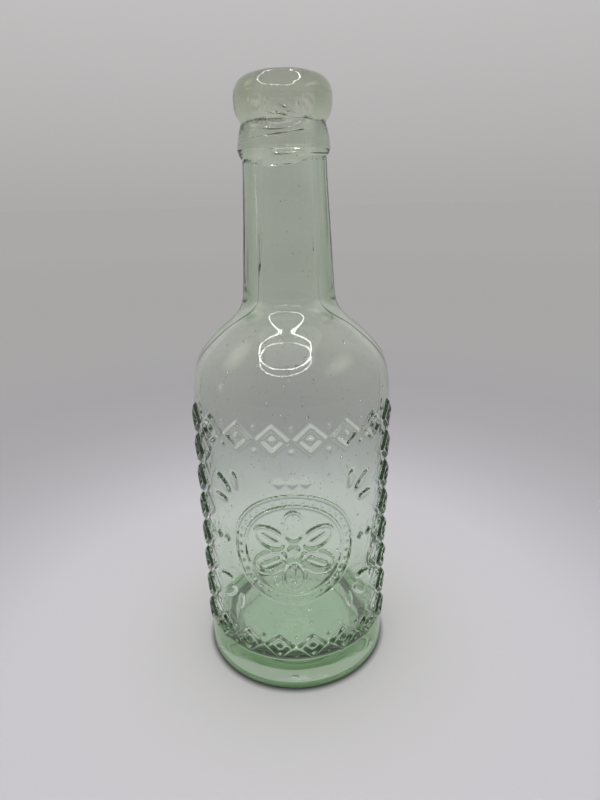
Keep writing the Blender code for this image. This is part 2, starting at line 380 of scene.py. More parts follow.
def border(across, up):
    """Lozenges in two rows and two columns, with a bead in each notch between two neighbours."""
    x = folded(across, -border_half_width, across_pitch)
    y = folded(up, border_foot, up_pitch)
    heights = [lozenge(x, up - row) for row in (border_foot, border_top)]
    heights += [lozenge(across - side, y) for side in (-border_half_width, border_half_width)]
    notch_x = folded(across, across_pitch / 2 - border_half_width, across_pitch)
    notch_y = folded(up, up_pitch / 2 + border_foot, up_pitch)
    within_x = np.abs(across) < border_half_width - across_pitch / 4
    within_y = (up > border_foot + up_pitch / 4) & (up < border_top - up_pitch / 4)
    for side in (-1, 1):
        row_bead = side * lozenge_half_height * notch_share
        column_bead = side * lozenge_half_width * notch_share
        for row in (border_foot, border_top):
            heights.append(bead(notch_x, up - row - row_bead, notch_bead, fine_relief) * within_x)
        for column in (-border_half_width, border_half_width):
            heights.append(bead(across - column - column_bead, notch_y, notch_bead, fine_relief) * within_y)
    return np.maximum.reduce(heights)


# %% [markdown]
# The field inside the border holds a rosette: two rings with beads between them, and six petals
# with a vein each. Short rows of studs and four leaf sprays fill what is left. A petal is worked out
# once, on points that are turned into its wedge.

# %% The rosette, the studs and the sprays
field_clearance = 0.0006
stud_size = 0.0015
stud_spacing = 0.004
studs = 3
field_half_width = border_half_width - lozenge_half_width - field_clearance
ring_radius = field_half_width - studs * stud_spacing - stud_size
ring_spacing = 0.0035
inner_ring_radius = ring_radius - ring_spacing
boss_radius = 0.0021
petals = 6
petal_clearance = 0.002
petal_inner = boss_radius + fine_stroke
petal_outer = inner_ring_radius - petal_clearance
petal_middle = (petal_inner + petal_outer) / 2
petal_half_length = petal_outer - petal_middle
petal_half_width = 0.0034
beads_between_rings = 36
ring_bead = 0.00055
vein_width_share = 0.8
vein_relief_share = 0.7
leaf_width_share = 0.36
leaves = ((0.0232, 0.0202, 48, 0.0036), (0.0186, 0.0222, 12, 0.003), (0.0248, 0.0148, 84, 0.003))
rosette_height = (border_foot + border_top) / 2


def into_wedge(x, y, wedges):
    """Turns every point into the wedge round the upward axis."""
    turn = 2 * np.pi / wedges
    angle = np.arctan2(x, y)
    angle = angle - np.round(angle / turn) * turn
    reach = np.hypot(x, y)
    return reach * np.sin(angle), reach * np.cos(angle)


def rosette(x, y):
    """Two rings, beads between them, petals with veins, and a boss in the middle."""
    reach = np.hypot(x, y)
    rings = (ring_radius, inner_ring_radius)
    heights = [stroke(reach - radius, fine_stroke, fine_relief) for radius in rings]
    bead_x, bead_y = into_wedge(x, y, beads_between_rings)
    heights.append(bead(bead_x, bead_y - sum(rings) / 2, ring_bead, fine_relief))
    petal_x, petal_y = into_wedge(x, y, petals)
    outline = oval_distance(petal_x, petal_y - petal_middle, petal_half_width, petal_half_length)
    heights.append(stroke(outline, fine_stroke, fine_relief))
    vein = np.hypot(petal_x, np.maximum(np.abs(petal_y - petal_middle) - petal_half_length / 2, 0))
    heights.append(stroke(vein, fine_stroke * vein_width_share, fine_relief * vein_relief_share))
    heights.append(stud(reach - boss_radius, fine_relief))
    return np.maximum.reduce(heights)


def leaf(x, y, middle_x, middle_y, tilt, half_length):
    """A solid leaf: an oval with its long axis turned by its tilt from upright."""
    dx, dy = x - middle_x, y - middle_y
    along = dx * np.sin(tilt) + dy * np.cos(tilt)
    aside = dx * np.cos(tilt) - dy * np.sin(tilt)
    return stud(oval_distance(aside, along, half_length * leaf_width_share, half_length), fine_relief)


def spray(x, y):
    """Three leaves that spread from a stem, in the corner where both x and y are positive."""
    heights = [
        leaf(x, y, middle_x, middle_y, np.radians(tilt), half_length)
        for middle_x, middle_y, tilt, half_length in leaves
    ]
    return np.maximum.reduce(heights)


def field_design(across, up):
    """The rosette, the studs beside, above and below it, and a spray in each corner."""
    y = up - rosette_height
    heights = [rosette(across, y), spray(np.abs(across), np.abs(y))]
    for number in range(studs):
        outward = ring_radius + (number + 1) * stud_spacing
        along = (number - (studs - 1) / 2) * stud_spacing
        above = ring_radius + stud_spacing
        beside = lozenge_distance(np.abs(across) - outward, y, stud_size, stud_size)
        over = lozenge_distance(across - along, np.abs(y) - above, stud_size, stud_size)
        heights += [stud(beside, fine_relief), stud(over, fine_relief)]
    return np.maximum.reduce(heights)


def raised(azimuth, height):
    """The height of the whole design above the wall, measured across from the front."""
    across = wrapped(azimuth) * body_radius
    return np.maximum(border(across, height), field_design(across, height))


# %% [markdown]
# ## The outside of the body
# The outside swells slowly, and carries the design, the two mould seams, and upright lines and
# streaks on its neck. At the front of the shoulder the mould left three soft bands, one hollow, one
# full and one hollow. They are why the real shoulder mirrors a ring of lamps as two rings, one
# above the other, and not as one. Each swell is written as its seed, its size, its turns round the
# bottle, its lengths up it and its count of waves. The neck's streaks have one seed for each face.

# %% Swellings of the outside
slow_outside = (3, 0.00006, (1, 4), (0.04, 0.12))
chill_ripples = (5, 0.000005, (9, 30), (0.009, 0.03), 24)
neck_streak = (0.00005, (5, 26), (0.06, 0.3), 14)
outside_streak_seed, inside_streak_seed = 7, 13
streaks_rise = (0.13, 0.145)
seam_relief = 0.00016
seam_span = (0.002, 0.006, 0.145, 0.156)
shoulder_bands = ((-0.0004, 0.1093, 0.0054), (0.0008, 0.1216, 0.0069), (-0.00082, 0.1269, 0.0044))
shoulder_half = np.radians(45)
line_start, line_end = 0.006, 0.004
neck_lines_at = (
    (-0.00005, -46, 2.2, 0.1585, 0.1665),
    (0.00004, -37, 3.0, 0.1475, 0.161),
    (0.00004, 34, 2.6, 0.1465, 0.166),
    (-0.00006, 57, 2.4, 0.149, 0.1665),
    (-0.00006, -58, 3.0, 0.13, 0.144),
    (-0.00006, 68, 3.0, 0.13, 0.146),
)


def seams(azimuth, height):
    """A thin ridge up both sides, which fades out below the finish."""
    aside = np.abs(np.abs(wrapped(azimuth)) - np.pi / 2)
    return seam_relief * (1 - ease(aside, 0, seam_half)) * between(height, *seam_span)


def neck_streaks(azimuth, height, seed):
    """Upright streaks that run the length of the neck, with many turns and long waves."""
    return ease(height, *streaks_rise) * swell(azimuth, height, seed, *neck_streak)


def neck_lines(azimuth, height):
    """Upright lines that the mould's neck left, each over a stretch of the height."""
    degrees = np.degrees(wrapped(azimuth))
    return sum(
        size * mound(degrees, at, half) * between(height, low, low + line_start, high - line_end, high)
        for size, at, half, low, high in neck_lines_at
    )


def front_lobe(azimuth, half):
    """1 at the front, falling to 1/e at half as exp(-(a/half)^4)."""
    return mound(wrapped(azimuth), 0, half, 4)


def shoulder_front(azimuth, height):
    """The sum of the three bands, size exp(-((z - middle) / reach)^2), at the front alone."""
    full = sum(size * mound(height, middle, reach) for size, middle, reach in shoulder_bands)
    return full * front_lobe(azimuth, shoulder_half)


def outside_swell(azimuth, height):
    """The slow swell and the fine chill ripples, with the bands, the lines, the streaks and the seams."""
    plain = swell(azimuth, height, *slow_outside) + swell(azimuth, height, *chill_ripples)
    upright = neck_lines(azimuth, height) + neck_streaks(azimuth, height, outside_streak_seed)
    return plain + shoulder_front(azimuth, height) + upright + seams(azimuth, height)


def outside_with_design(azimuth, height):
    """The outside where it also carries the raised design."""
    return outside_swell(azimuth, height) + raised(azimuth, height)


# %% [markdown]
# ## The inside of the body
# The inside was never touched by a mould, so it wanders more. Only at the front of the shoulder is
# the glass of one thickness: there the inner face follows the outer one and mirrors the lamps a
# second time, a little lower. Above the neck the bore holds slanting folds, where hot glass
# slumped on itself round the sheared end.

# %% Swellings of the inside
slow_inside = (11, 0.0002, (1, 5), (0.03, 0.09), 12)
fine_inside = (12, 0.00003, (6, 18), (0.01, 0.03), 16)
calm_share = 0.75
calm_rise = (0.098, 0.112)
corner_puckers = (14, 0.00011, (22, 52), (0.02, 0.06), 10)
pucker_span = (0.0105, 0.0145, 0.02, 0.025)
bore_streak_share = 1.4
wide_folds = (43, 0.0001, (2, 6), (0.004, 0.012), 8)
narrow_folds = (44, 0.00014, (1, 9), (0.0009, 0.0022), 14)
upright_folds = (45, 0.00009, (8, 26), (0.01, 0.03), 12)
fold_span = (0.1765, 0.179, 0.182, 0.1855)
front_thickness, thickness_height, thickness_growth = 0.0038, 0.11, 0.03
parallel_span = (0.086, 0.104, 0.118, 0.13)
side_thinning = 0.0007
thin_span = (0.098, 0.112, 0.124, 0.136)
thin_half = np.radians(60)

front_rows = np.linspace(0.09, 0.135, 226)
front_outside = np.interp(front_rows, wall_outline[:, 1], wall_outline[:, 0])
front_outside += shoulder_front(np.zeros(len(front_rows)), front_rows)
front_slope = np.gradient(front_outside, front_rows)
front_wall = front_thickness + thickness_growth * (front_rows - thickness_height)
setback = front_wall / np.hypot(1, front_slope)
front_inside = np.column_stack((front_outside - setback, front_rows + setback * front_slope))
print("wall at the front of the shoulder:", front_wall.min().round(5), "to", front_wall.max().round(5))


def inner_front(azimuth, height):
    """Takes the inner face to one wall's thickness behind the outside at the front of the shoulder,
    and thins the wall at the shoulder's sides."""
    cavity = np.interp(height, cavity_outline[:, 1], cavity_outline[:, 0])
    parallel = np.interp(height, front_inside[:, 1], front_inside[:, 0]) - cavity
    parallel = parallel * between(height, *parallel_span)
    thin = side_thinning * between(height, *thin_span)
    return parallel * front_lobe(azimuth, shoulder_half) + thin * (1 - front_lobe(azimuth, thin_half))


def bore_folds(azimuth, height):
    """Slanting folds in the bore round the sheared end, wide, narrow and upright ones."""
    folds = sum(swell(azimuth, height, *kind) for kind in (wide_folds, narrow_folds, upright_folds))
    return between(height, *fold_span) * folds


def inside_swell(azimuth, height):
    """The wandering inside of the wall, calmer in the bore than in the body."""
    calm = 1 - calm_share * ease(height, *calm_rise)
    wander = calm * (swell(azimuth, height, *slow_inside) + swell(azimuth, height, *fine_inside))
    puckers = swell(azimuth, height, *corner_puckers) * between(height, *pucker_span)
    streaks = bore_streak_share * neck_streaks(azimuth, height, inside_streak_seed)
    return wander + inner_front(azimuth, height) + streaks + puckers + bore_folds(azimuth, height)


# %% [markdown]
# The two joints of the finish aren't level. The collar's foot hangs lower over the front, where the
# glass slopped down before it set, and the crease under the lip wanders by a few tenths of a
# millimetre. The pieces on both sides of a joint follow the same line, so they meet all the way.

# %% Lines of the two joints
blend_height = 0.004
foot_rise, foot_tilt, foot_sag = 0.0018, 0.0007, 0.0019
sag_middle, sag_half = np.radians((-5, 30))
crease_rise, broad_wave, short_wave, crease_hump = 0.0001, 0.00008, 0.00006, 0.00045
hump_middle, hump_half = np.radians((30, 14))


def foot_line(azimuth):
    """How far the collar's foot stands above its drawn height."""
    sag = foot_sag * mound(wrapped(azimuth - sag_middle), 0, sag_half, 4)
    return foot_rise + foot_tilt * np.sin(azimuth) - sag


def crease_line(azimuth):
    """How far the crease under the lip stands above its drawn height."""
    waves = broad_wave * np.cos(3 * azimuth + 1) + short_wave * np.sin(7 * azimuth)
    return crease_rise + waves + crease_hump * mound(wrapped(azimuth - hump_middle), 0, hump_half)


def lift_near(line, joint_height):
    """A function that carries the glass near a joint along with the joint's line."""

    def lift(azimuth, height):
        return line(azimuth) * (1 - ease(np.abs(height - joint_height), 0, blend_height))

    return lift


lift_to_foot = lift_near(foot_line, collar_foot)
lift_to_crease = lift_near(crease_line, crease_height)
print("joints blended over", blend_height)

# %% [markdown]
# ## Rings of points into one closed mesh
# Blender could spin an outline, but a spin has one count of columns from top to bottom. Here rings
# are joined pair by pair. Rings of one count are joined by four-sided faces, and a fine ring meets
# a coarse one by a triangle and a four-sided face in turn. An open run ends in a pole at each end.

# %% Join rings


def placed(name, data):
    """An object for a mesh, a lamp or a camera, linked into the scene at the origin."""
    made = bpy.data.objects.new(name, data)
    bpy.context.scene.collection.objects.link(made)
    return made


def faces_between(low, low_count, high, high_count):
    """Faces from the ring that starts at point low to the one that starts at high, facing out."""
    near = np.arange(min(low_count, high_count))
    after = (near + 1) % len(near)
    if low_count == high_count:
        fours = np.column_stack((low + near, low + after, high + after, high + near))
        return fours, np.empty((0, 3), int)
    first, second = 2 * near, 2 * near + 1
    third = (2 * near + 2) % (2 * len(near))
    if low_count > high_count:
        fours = np.column_stack((low + second, low + third, high + after, high + near))
        threes = np.column_stack((low + first, low + second, high + near))
    else:
        fours = np.column_stack((low + near, low + after, high + third, high + second))
        threes = np.column_stack((low + near, high + second, high + first))
    return fours, threes


def skin(name, rings, looped=False, sharp=(), seats=(), inclusions=None):
    """Joins rings into a closed mesh. Sharp holds rings with a hard edge, and seats the rings that
    a hidden seat starts from. Inclusions are the points and faces of voids inside the glass."""
    counts = np.array([len(ring) for ring in rings])
    starts = np.concatenate(([0], np.cumsum(counts)))
    points = [*rings]
    fours, threes, four_seats, three_seats = [], [], [], []
    pairs = [(number, number + 1) for number in range(len(rings) - 1)]
    if looped:
        pairs.append((len(rings) - 1, 0))
    for lower, upper in pairs:
        four, three = faces_between(starts[lower], counts[lower], starts[upper], counts[upper])
        fours.append(four)
        threes.append(three)
        four_seats.append(np.full(len(four), float(lower in seats)))
        three_seats.append(np.full(len(three), float(lower in seats)))
    total = starts[-1]
    if not looped:
        for ring, facing in ((0, -1), (len(rings) - 1, 1)):
            near = starts[ring] + np.arange(counts[ring])
            fan = np.column_stack((near, np.roll(near, -facing), np.full(counts[ring], total)))
            points.append(rings[ring].mean(axis=0)[None])
            threes.append(fan)
            three_seats.append(np.zeros(len(fan)))
            total += 1
    if inclusions is not None:
        bubble_points, bubble_fours, bubble_threes = inclusions
        points.append(bubble_points)
        fours.append(bubble_fours + total)
        threes.append(bubble_threes + total)
        four_seats.append(np.zeros(len(bubble_fours)))
        three_seats.append(np.zeros(len(bubble_threes)))
    fours, threes = np.vstack(fours), np.vstack(threes)
    mesh = bpy.data.meshes.new(name)
    mesh.from_pydata(np.vstack(points), [], fours.tolist() + threes.tolist(), shade_flat=False)
    seat = mesh.attributes.new("seat", "FLOAT", "FACE")
    seat.data.foreach_set("value", np.concatenate(four_seats + three_seats))
    ring_of_point = np.full(len(mesh.vertices), -1)
    ring_of_point[: starts[-1]] = np.repeat(np.arange(len(rings)), counts)
    ends = np.empty(len(mesh.edges) * 2, int)
    mesh.edges.foreach_get("vertices", ends)
    ring_ends = ring_of_point[ends.reshape(-1, 2)]
    along_ring = (ring_ends[:, 0] == ring_ends[:, 1]) & np.isin(ring_ends[:, 0], list(sharp))
    hard = mesh.attributes.new("sharp_edge", "BOOLEAN", "EDGE")
    hard.data.foreach_set("value", along_ring)
    mesh.update()
    print(name, len(mesh.vertices), "points,", 2 * len(fours) + len(threes), "triangles")
    return placed(name, mesh)


# %% [markdown]
# ## Seeds
# Small bubbles, which glassmakers call seeds, are trapped in the wall and drawn out a little along
# it. Each is a void, so its faces point into its own middle, away from the glass. They are all made
# at once from one small ball, stretched along its own three directions. A larger bubble low in the
# heel gets a finer ball.

# %% Bubbles in the glass
seeds_in_wall = 340
seeds_lot = 21
seed_heights = (0.012, 0.12)
front_seed_share, front_seed_half = 0.7, 1.5
seed_depth_shares = (0.42, 0.6)
smallest_seed, seed_growth, growth_power = 0.00012, 0.0004, 2.5
seed_stretch_shares, seed_thickness_share = (1, 1.7), 0.8
heel_bubble_azimuth, heel_bubble_height, heel_bubble_radius = np.radians(-1), 0.0046, 0.0302
heel_bubble_sizes = (0.0015, 0.0006, 0.0006)


def ring_faces(rings, around):
    """Four-sided faces between each ring of points and the next one."""
    near = np.arange(around)
    after = (near + 1) % around
    band = np.column_stack((near, near + around, after + around, after))
    return np.vstack([band + row * around for row in range(rings - 1)])


def unit_ball(around, rings):
    """Points and faces of a ball of radius 1, facing inwards."""
    polar = np.linspace(0, np.pi, rings + 2)[1:-1]
    angle = np.arange(around) * 2 * np.pi / around
    across = np.outer(np.sin(polar), np.cos(angle)), np.outer(np.sin(polar), np.sin(angle))
    ball = np.stack((*across, np.outer(-np.cos(polar), np.ones(around))), axis=-1).reshape(-1, 3)
    points = np.vstack((ball, (0, 0, -1), (0, 0, 1)))
    near = np.arange(around)
    after = (near + 1) % around
    last = (rings - 1) * around
    bottom = np.column_stack((near, after, np.full(around, rings * around)))
    top = np.column_stack((last + after, last + near, np.full(around, rings * around + 1)))
    return points, ring_faces(rings, around), np.vstack((bottom, top))


def voids(azimuth, height, radius, sizes, around=6, rings=3):
    """Balls at (azimuth, height, radius), with half sizes along the wall, up it and through it."""
    ball, fours, threes = unit_ball(around, rings)
    out = np.column_stack((np.sin(azimuth), -np.cos(azimuth), np.zeros(len(azimuth))))
    along = np.column_stack((np.cos(azimuth), np.sin(azimuth), np.zeros(len(azimuth))))
    upward = np.tile((0.0, 0.0, 1.0), (len(azimuth), 1))
    middle = radius[:, None] * out + height[:, None] * upward
    middle[:, 0] += np.interp(height, drift_heights, drift_sideways)
    axes = np.stack((along, out, upward), axis=1) * sizes[:, (0, 2, 1), None]
    points = middle[:, None] + np.einsum("pk,nkd->npd", ball, axes)
    shift = (np.arange(len(azimuth)) * len(ball))[:, None, None]
    return points.reshape(-1, 3), (fours + shift).reshape(-1, 4), (threes + shift).reshape(-1, 3)


def wall_seeds(count, seed):
    """Seeds in the middle of the wall, smaller than a third of its thickness."""
    lot = np.random.default_rng(seed)
    at_front = lot.random(count) < front_seed_share
    front_azimuth = lot.uniform(-front_seed_half, front_seed_half, count)
    azimuth = np.where(at_front, front_azimuth, lot.uniform(0, 2 * np.pi, count))
    height = lot.uniform(*seed_heights, count)
    outer = np.interp(height, wall_outline[:, 1], wall_outline[:, 0])
    inner = np.interp(height, cavity_outline[:, 1], cavity_outline[:, 0])
    radius = inner + (outer - inner) * lot.uniform(*seed_depth_shares, count)
    size = smallest_seed + seed_growth * lot.random(count) ** growth_power
    stretched = size * lot.uniform(*seed_stretch_shares, count)
    return azimuth, height, radius, np.column_stack((size, stretched, size * seed_thickness_share))


seed_points, seed_fours, seed_threes = voids(*wall_seeds(seeds_in_wall, seeds_lot))
heel_place = np.array([[heel_bubble_azimuth], [heel_bubble_height], [heel_bubble_radius]])
heel_bubble = voids(*heel_place, np.array([heel_bubble_sizes]), 16, 7)
bubbles = (
    np.vstack((seed_points, heel_bubble[0])),
    np.vstack((seed_fours, heel_bubble[1] + len(seed_points))),
    np.vstack((seed_threes, heel_bubble[2] + len(seed_points))),
)
print("seeds:", seeds_in_wall, "and one bubble in the heel")

# %% [markdown]
# ## The body
# One closed skin: from the middle of the push-up, out over the bearing ring and the heel, up the
# wall and the neck, over the sheared end, and back down the inside to the middle of the floor. The
# faces that seat in the finish are marked, because hot glass fuses there and no surface is left.

# %% Build the body
design_foot, design_top = 0.0125, 0.0985
crease_depth = 0.0005
foot_crease = 0.00003
half_gap = fused_gap / 2
base_step, floor_step = 0.0012, 0.0011
low_heights, low_steps = (0, 0.003, design_foot), (0.00045, 0.0009)
design_step = 0.00047
joint_top = collar_foot - half_gap
high_heights, high_steps = (design_top, neck_root_height, 0.16, joint_top), (0.001, 0.0018, 0.0006)
seat_radius = sheared_radius - half_gap
seat_top = sheared_top - half_gap
inner_heights = (floor_outline[-1, 1], 0.1, neck_root_height, 0.176, seat_top)
inner_steps = (0.0021, 0.0011, 0.0022, 0.0003)

under_rings = turned(evenly(under_outline, base_step)[1:], coarse_columns, outside_swell)
bearing = evenly(np.array(((bearing_inner, 0), (bearing_outer, 0))), base_step)[1:-1]
bearing_rings = turned(bearing, coarse_columns, outside_swell)
low_wall = by_height(wall_outline, low_heights, low_steps)
low_rings = turned(low_wall[:-1], coarse_columns, outside_swell)
design_wall = by_height(wall_outline, (design_foot, design_top), (design_step,))
design_rings = turned(design_wall, fine_columns, outside_with_design)
high_outline = np.vstack((wall_outline[:-1], (neck_top_radius, joint_top)))
high_wall = by_height(high_outline, high_heights, high_steps)
high_rings = turned(high_wall[1:], coarse_columns, outside_swell, lift_to_foot)
seat_heights = (joint_top, flare_height, crease_height, seat_top)
seat_outline = np.array(
    ((neck_top_radius - foot_crease, joint_top), *((seat_radius, height) for height in seat_heights))
)
seat_rings = turned(seat_outline, coarse_columns, None, lift_to_foot)
bore_outline = np.vstack((cavity_outline[:-1], (bore_top_radius, seat_top)))
inner_wall = by_height(bore_outline, inner_heights, inner_steps)
inner_rings = turned(inner_wall[::-1], coarse_columns, inside_swell)
floor_rings = turned(evenly(floor_outline, floor_step)[-2:0:-1], coarse_columns, inside_swell)

outer_rings = [*under_rings, *bearing_rings, *low_rings, *design_rings, *high_rings]
first_seat = len(outer_rings)
body_rings = [*outer_rings, *seat_rings, *inner_rings, *floor_rings]
bottle_body = skin(
    "bottle_body",
    body_rings,
    sharp=[first_seat - 1, first_seat + 1, first_seat + 4, first_seat + 5],
    seats=range(first_seat, first_seat + 5),
    inclusions=bubbles,
)

# %% [markdown]
# ## The collar
# A ring of hot glass wound round the neck and squeezed by the finisher's tool, which leaves the
# sharp lower edge. A lap, where the end of the gather was laid over its start, crosses the front as
# a slanting furrow, and the tool left level furrows under the crease and along the edge. Their
# lower flanks tilt up to the lamps and mirror them as bright lines. The collar is a loop of rings,
# with its seat on the inside.

# %% Outline of the collar
finish_around = 240
collar_step = 0.00013
foot_bulge, foot_round = 0.00005, 0.0003
skirt_out, skirt_up = 0.0002, 0.0014
edge_in, edge_bulge, edge_half = 0.00012, 0.00003, 0.0002
over_edge_in, over_edge_up = 0.00002, 0.0005
side_first_up, side_second_out, side_second_down = 0.0022, 0.0004, 0.0017
top_down, top_in = 0.0003, 0.0002

finish_columns = np.linspace(-np.pi, np.pi, finish_around, endpoint=False)
socket_radius = sheared_radius + half_gap
collar_bottom = collar_foot + half_gap
collar_top = crease_height - half_gap
foot_start = (neck_top_radius - foot_crease, collar_bottom)
foot_corner = (neck_top_radius + foot_bulge, collar_bottom)
foot_end = (neck_top_radius + foot_bulge, collar_bottom + foot_round)
below_edge = (flare_radius - edge_in, flare_height - edge_half)
above_edge = (flare_radius - over_edge_in, flare_height + over_edge_up)
crease_foot = (crease_radius, collar_top - top_down)
crease_edge = (crease_radius - top_in, collar_top)
edge_curve = cubic(
    below_edge,
    (flare_radius + edge_bulge, flare_height),
    (flare_radius + edge_bulge, flare_height + edge_half),
    above_edge,
)
side_handles = (
    (flare_radius, flare_height + side_first_up),
    (crease_radius + side_second_out, collar_top - side_second_down),
)
collar_side = np.vstack(
    (
        foot_start,
        quarter(foot_start, foot_corner, foot_end),
        (neck_top_radius + skirt_out, collar_bottom + skirt_up),
        below_edge,
        edge_curve,
        cubic(above_edge, *side_handles, crease_foot),
        crease_edge,
    )
)
collar_outer = evenly(collar_side, collar_step)
collar_seat = np.array(
    (
        (crease_radius - crease_depth, collar_top),
        (socket_radius, collar_top),
        (socket_radius, flare_height),
        (socket_radius, collar_bottom),
    )
)
print("points in the collar's outline:", len(collar_outer) + len(collar_seat))

# %% [markdown]
# A furrow is a hollow with a bell-shaped section along a path of (degrees, height) pairs. Where its
# steepest slope just meets the tilt that mirrors the lamps, the bright line is at its widest.

# %% Build the collar
fade_share = 0.15
collar_slow = (31, 0.0001, (1, 5), (0.008, 0.03))
collar_marks = (32, 0.00001, (2, 12), (0.0008, 0.0025), 16)
crease_path = ((-52, 0.1769), (-41, 0.1764), (-20, 0.1759), (-2, 0.1758), (14, 0.1764), (34, 0.1773))
fold_path = ((-48, 0.1757), (-30, 0.1752), (-12, 0.17485), (6, 0.1751))
lap_path = ((-40, 0.1731), (-28, 0.1734), (0, 0.1739), (26, 0.1748))
edge_path = ((-34, 0.17055), (0, 0.17055), (36, 0.17055))
lower_path = ((-32, 0.1699), (0, 0.16985), (34, 0.1698))
white_path = ((-20, 0.1690), (0, 0.1689), (18, 0.1691))
dash_path = ((-16, 0.1687), (0, 0.16865), (12, 0.1688))
collar_furrows = (
    (crease_path, 0.00013, 0.0005),
    (lap_path, 0.00012, 0.0002),
    (edge_path, 0.0002, 0.0003),
    (lower_path, 0.00025, 0.00028),
    (white_path, 0.00018, 0.00018),
)


def furrow(azimuth, height, path, depth, width):
    """-depth exp(-((z - path) / width)^2), fading in and out over the ends of the path."""
    degrees, heights = np.transpose(path)
    place = np.degrees(wrapped(azimuth))
    share = (place - degrees[0]) / (degrees[-1] - degrees[0])
    fades = between(share, 0, fade_share, 1 - fade_share, 1)
    return -depth * fades * mound(height, np.interp(place, degrees, heights), width)


def collar_swell(azimuth, height):
    """The collar's slow swell, its tool marks, and the furrows of its folds, its lap and its edge."""
    plain = swell(azimuth, height, *collar_slow) + swell(azimuth, height, *collar_marks)
    return plain + sum(furrow(azimuth, height, *mark) for mark in collar_furrows)


def lift_collar(azimuth, height):
    """Both joints' lines, each near its own end of the collar."""
    return lift_to_foot(azimuth, height) + lift_to_crease(azimuth, height)


collar_rings = [
    *turned(collar_outer, finish_columns, collar_swell, lift_collar),
    *turned(collar_seat, finish_columns, None, lift_collar),
]
side_count = len(collar_outer)
bottle_collar = skin(
    "bottle_collar",
    collar_rings,
    looped=True,
    sharp=[0, side_count, side_count + 1, side_count + 3],
    seats=range(side_count, side_count + 4),
)

# %% [markdown]
# ## The blob lip
# The last gather, turned against a lipping tool until it is round. The tool leaves faint level
# ridges, and the blob isn't quite even all round: at the front its top slopes down to a fuller
# belly, which is where it mirrors the ring of lamps. Its mouth is rounded by the fire, and in the
# bore below the mouth the folds of the sheared end go on.

# %% Outline of the lip
lip_step = 0.00024
lip_bottom = crease_height + half_gap
socket_top = sheared_top + half_gap
lip_foot = (crease_radius - top_in, lip_bottom)
belly = (lip_radius, belly_height + seat_gap * 2)
crown = (mouth_radius + mouth_round, lip_top)
under_out_share, under_up_share, under_down_share = 0.74, 0.36, 0.45
crown_rise_share = 0.05
side_shares, front_shares = (0.68, 0.61), (1.068, 0.717)
throat_out = 0.0001


def over_the_top(rise_share, run_share):
    """The curve from the belly to the mouth, fuller the larger the two shares are."""
    rise, run = lip_top - belly[1], lip_radius - crown[0]
    first = (lip_radius, belly[1] + rise_share * rise)
    return cubic(belly, first, (crown[0] + run_share * run, lip_top - crown_rise_share * rise), crown)


side_curve = over_the_top(*side_shares)
front_curve = over_the_top(*front_shares)
under_run, under_rise = lip_radius - crease_radius, belly[1] - lip_bottom
under_first = (crease_radius + under_out_share * under_run, lip_bottom + under_up_share * under_rise)
under_second = (lip_radius, belly[1] - under_down_share * under_rise)
lip_side = np.vstack(
    (
        lip_foot,
        cubic(lip_foot, under_first, under_second, belly),
        side_curve,
        quarter(crown, (mouth_radius, lip_top), (mouth_radius, lip_top - mouth_round)),
        (bore_top_radius + throat_out, lip_top - 3 * mouth_round),
        (bore_top_radius, socket_top),
    )
)
lip_outer = evenly(lip_side, lip_step)
lip_seat = np.array(
    (
        (socket_radius, socket_top),
        (socket_radius, (socket_top + lip_bottom) / 2),
        (socket_radius, lip_bottom),
        (crease_radius - crease_depth, lip_bottom),
    )
)
print("points in the lip's outline:", len(lip_outer) + len(lip_seat))

# %% Build the lip
lip_slow = (41, 0.00007, (1, 4), (0.015, 0.04))
lip_ridges = (42, 0.000006, (1, 7), (0.0009, 0.0022), 16)
lip_mark = (((-46, 0.1852), (-35, 0.1851), (-12, 0.1844)), 0.00006, 0.00018)
front_slip = 0.00108
front_slip_half = np.radians(34.4)
slip_rise = (0.18354, 0.18891)
bore_ribs = ((0.0003, -50, 5), (-0.0003, -41, 4), (0.0003, 24, 4))
rib_span = (socket_top, socket_top + 0.001, 0.1825, 0.1845)
mouth_span = (lip_top - mouth_round, lip_top)


def lip_swell(azimuth, height):
    """The blob's unevenness, its sloping front, the tool's level ridges and one mark."""
    fuller = np.interp(height, *front_curve.T[::-1]) - np.interp(height, *side_curve.T[::-1])
    sloping = fuller * (height > belly[1]) - front_slip * ease(height, *slip_rise)
    plain = swell(azimuth, height, *lip_slow) + swell(azimuth, height, *lip_ridges)
    return plain + sloping * front_lobe(azimuth, front_slip_half) + furrow(azimuth, height, *lip_mark)


def bore_twist(azimuth, height):
    """The folds and the ribs inside the lip, and the dip of its mouth at the front."""
    degrees = np.degrees(wrapped(azimuth))
    ribs = sum(size * mound(degrees, at, half) for size, at, half in bore_ribs)
    tipped = front_slip * front_lobe(azimuth, front_slip_half) * ease(height, *mouth_span)
    return bore_folds(azimuth, height) + ribs * between(height, *rib_span) - tipped


crown_row = int(np.argmax(lip_outer[:, 1]))
lip_rings = [
    *turned(lip_outer[: crown_row + 1], finish_columns, lip_swell, lift_to_crease),
    *turned(lip_outer[crown_row + 1 :], finish_columns, bore_twist),
    *turned(lip_seat, finish_columns, None, lift_to_crease),
]
lip_count = len(lip_outer)
bottle_lip = skin(
    "bottle_lip",
    lip_rings,
    looped=True,
    sharp=[0, lip_count - 1, lip_count, lip_count + 2],
    seats=range(lip_count - 1, lip_count + 3),
)

# %% [markdown]
# ## Node helpers
# Small helpers keep the materials short. One adds a node, whose inputs are plain values or sockets
# to join. The others join two sockets, reckon with two numbers, bring a value into a range, fill a
# colour ramp, mix two colours or two shaders, tell which rays are fresh, and begin a group or a
# material.

# %% Helpers for nodes


def join(tree, source, target):
    """A link from an output socket to an input socket."""
    tree.links.new(source, target)


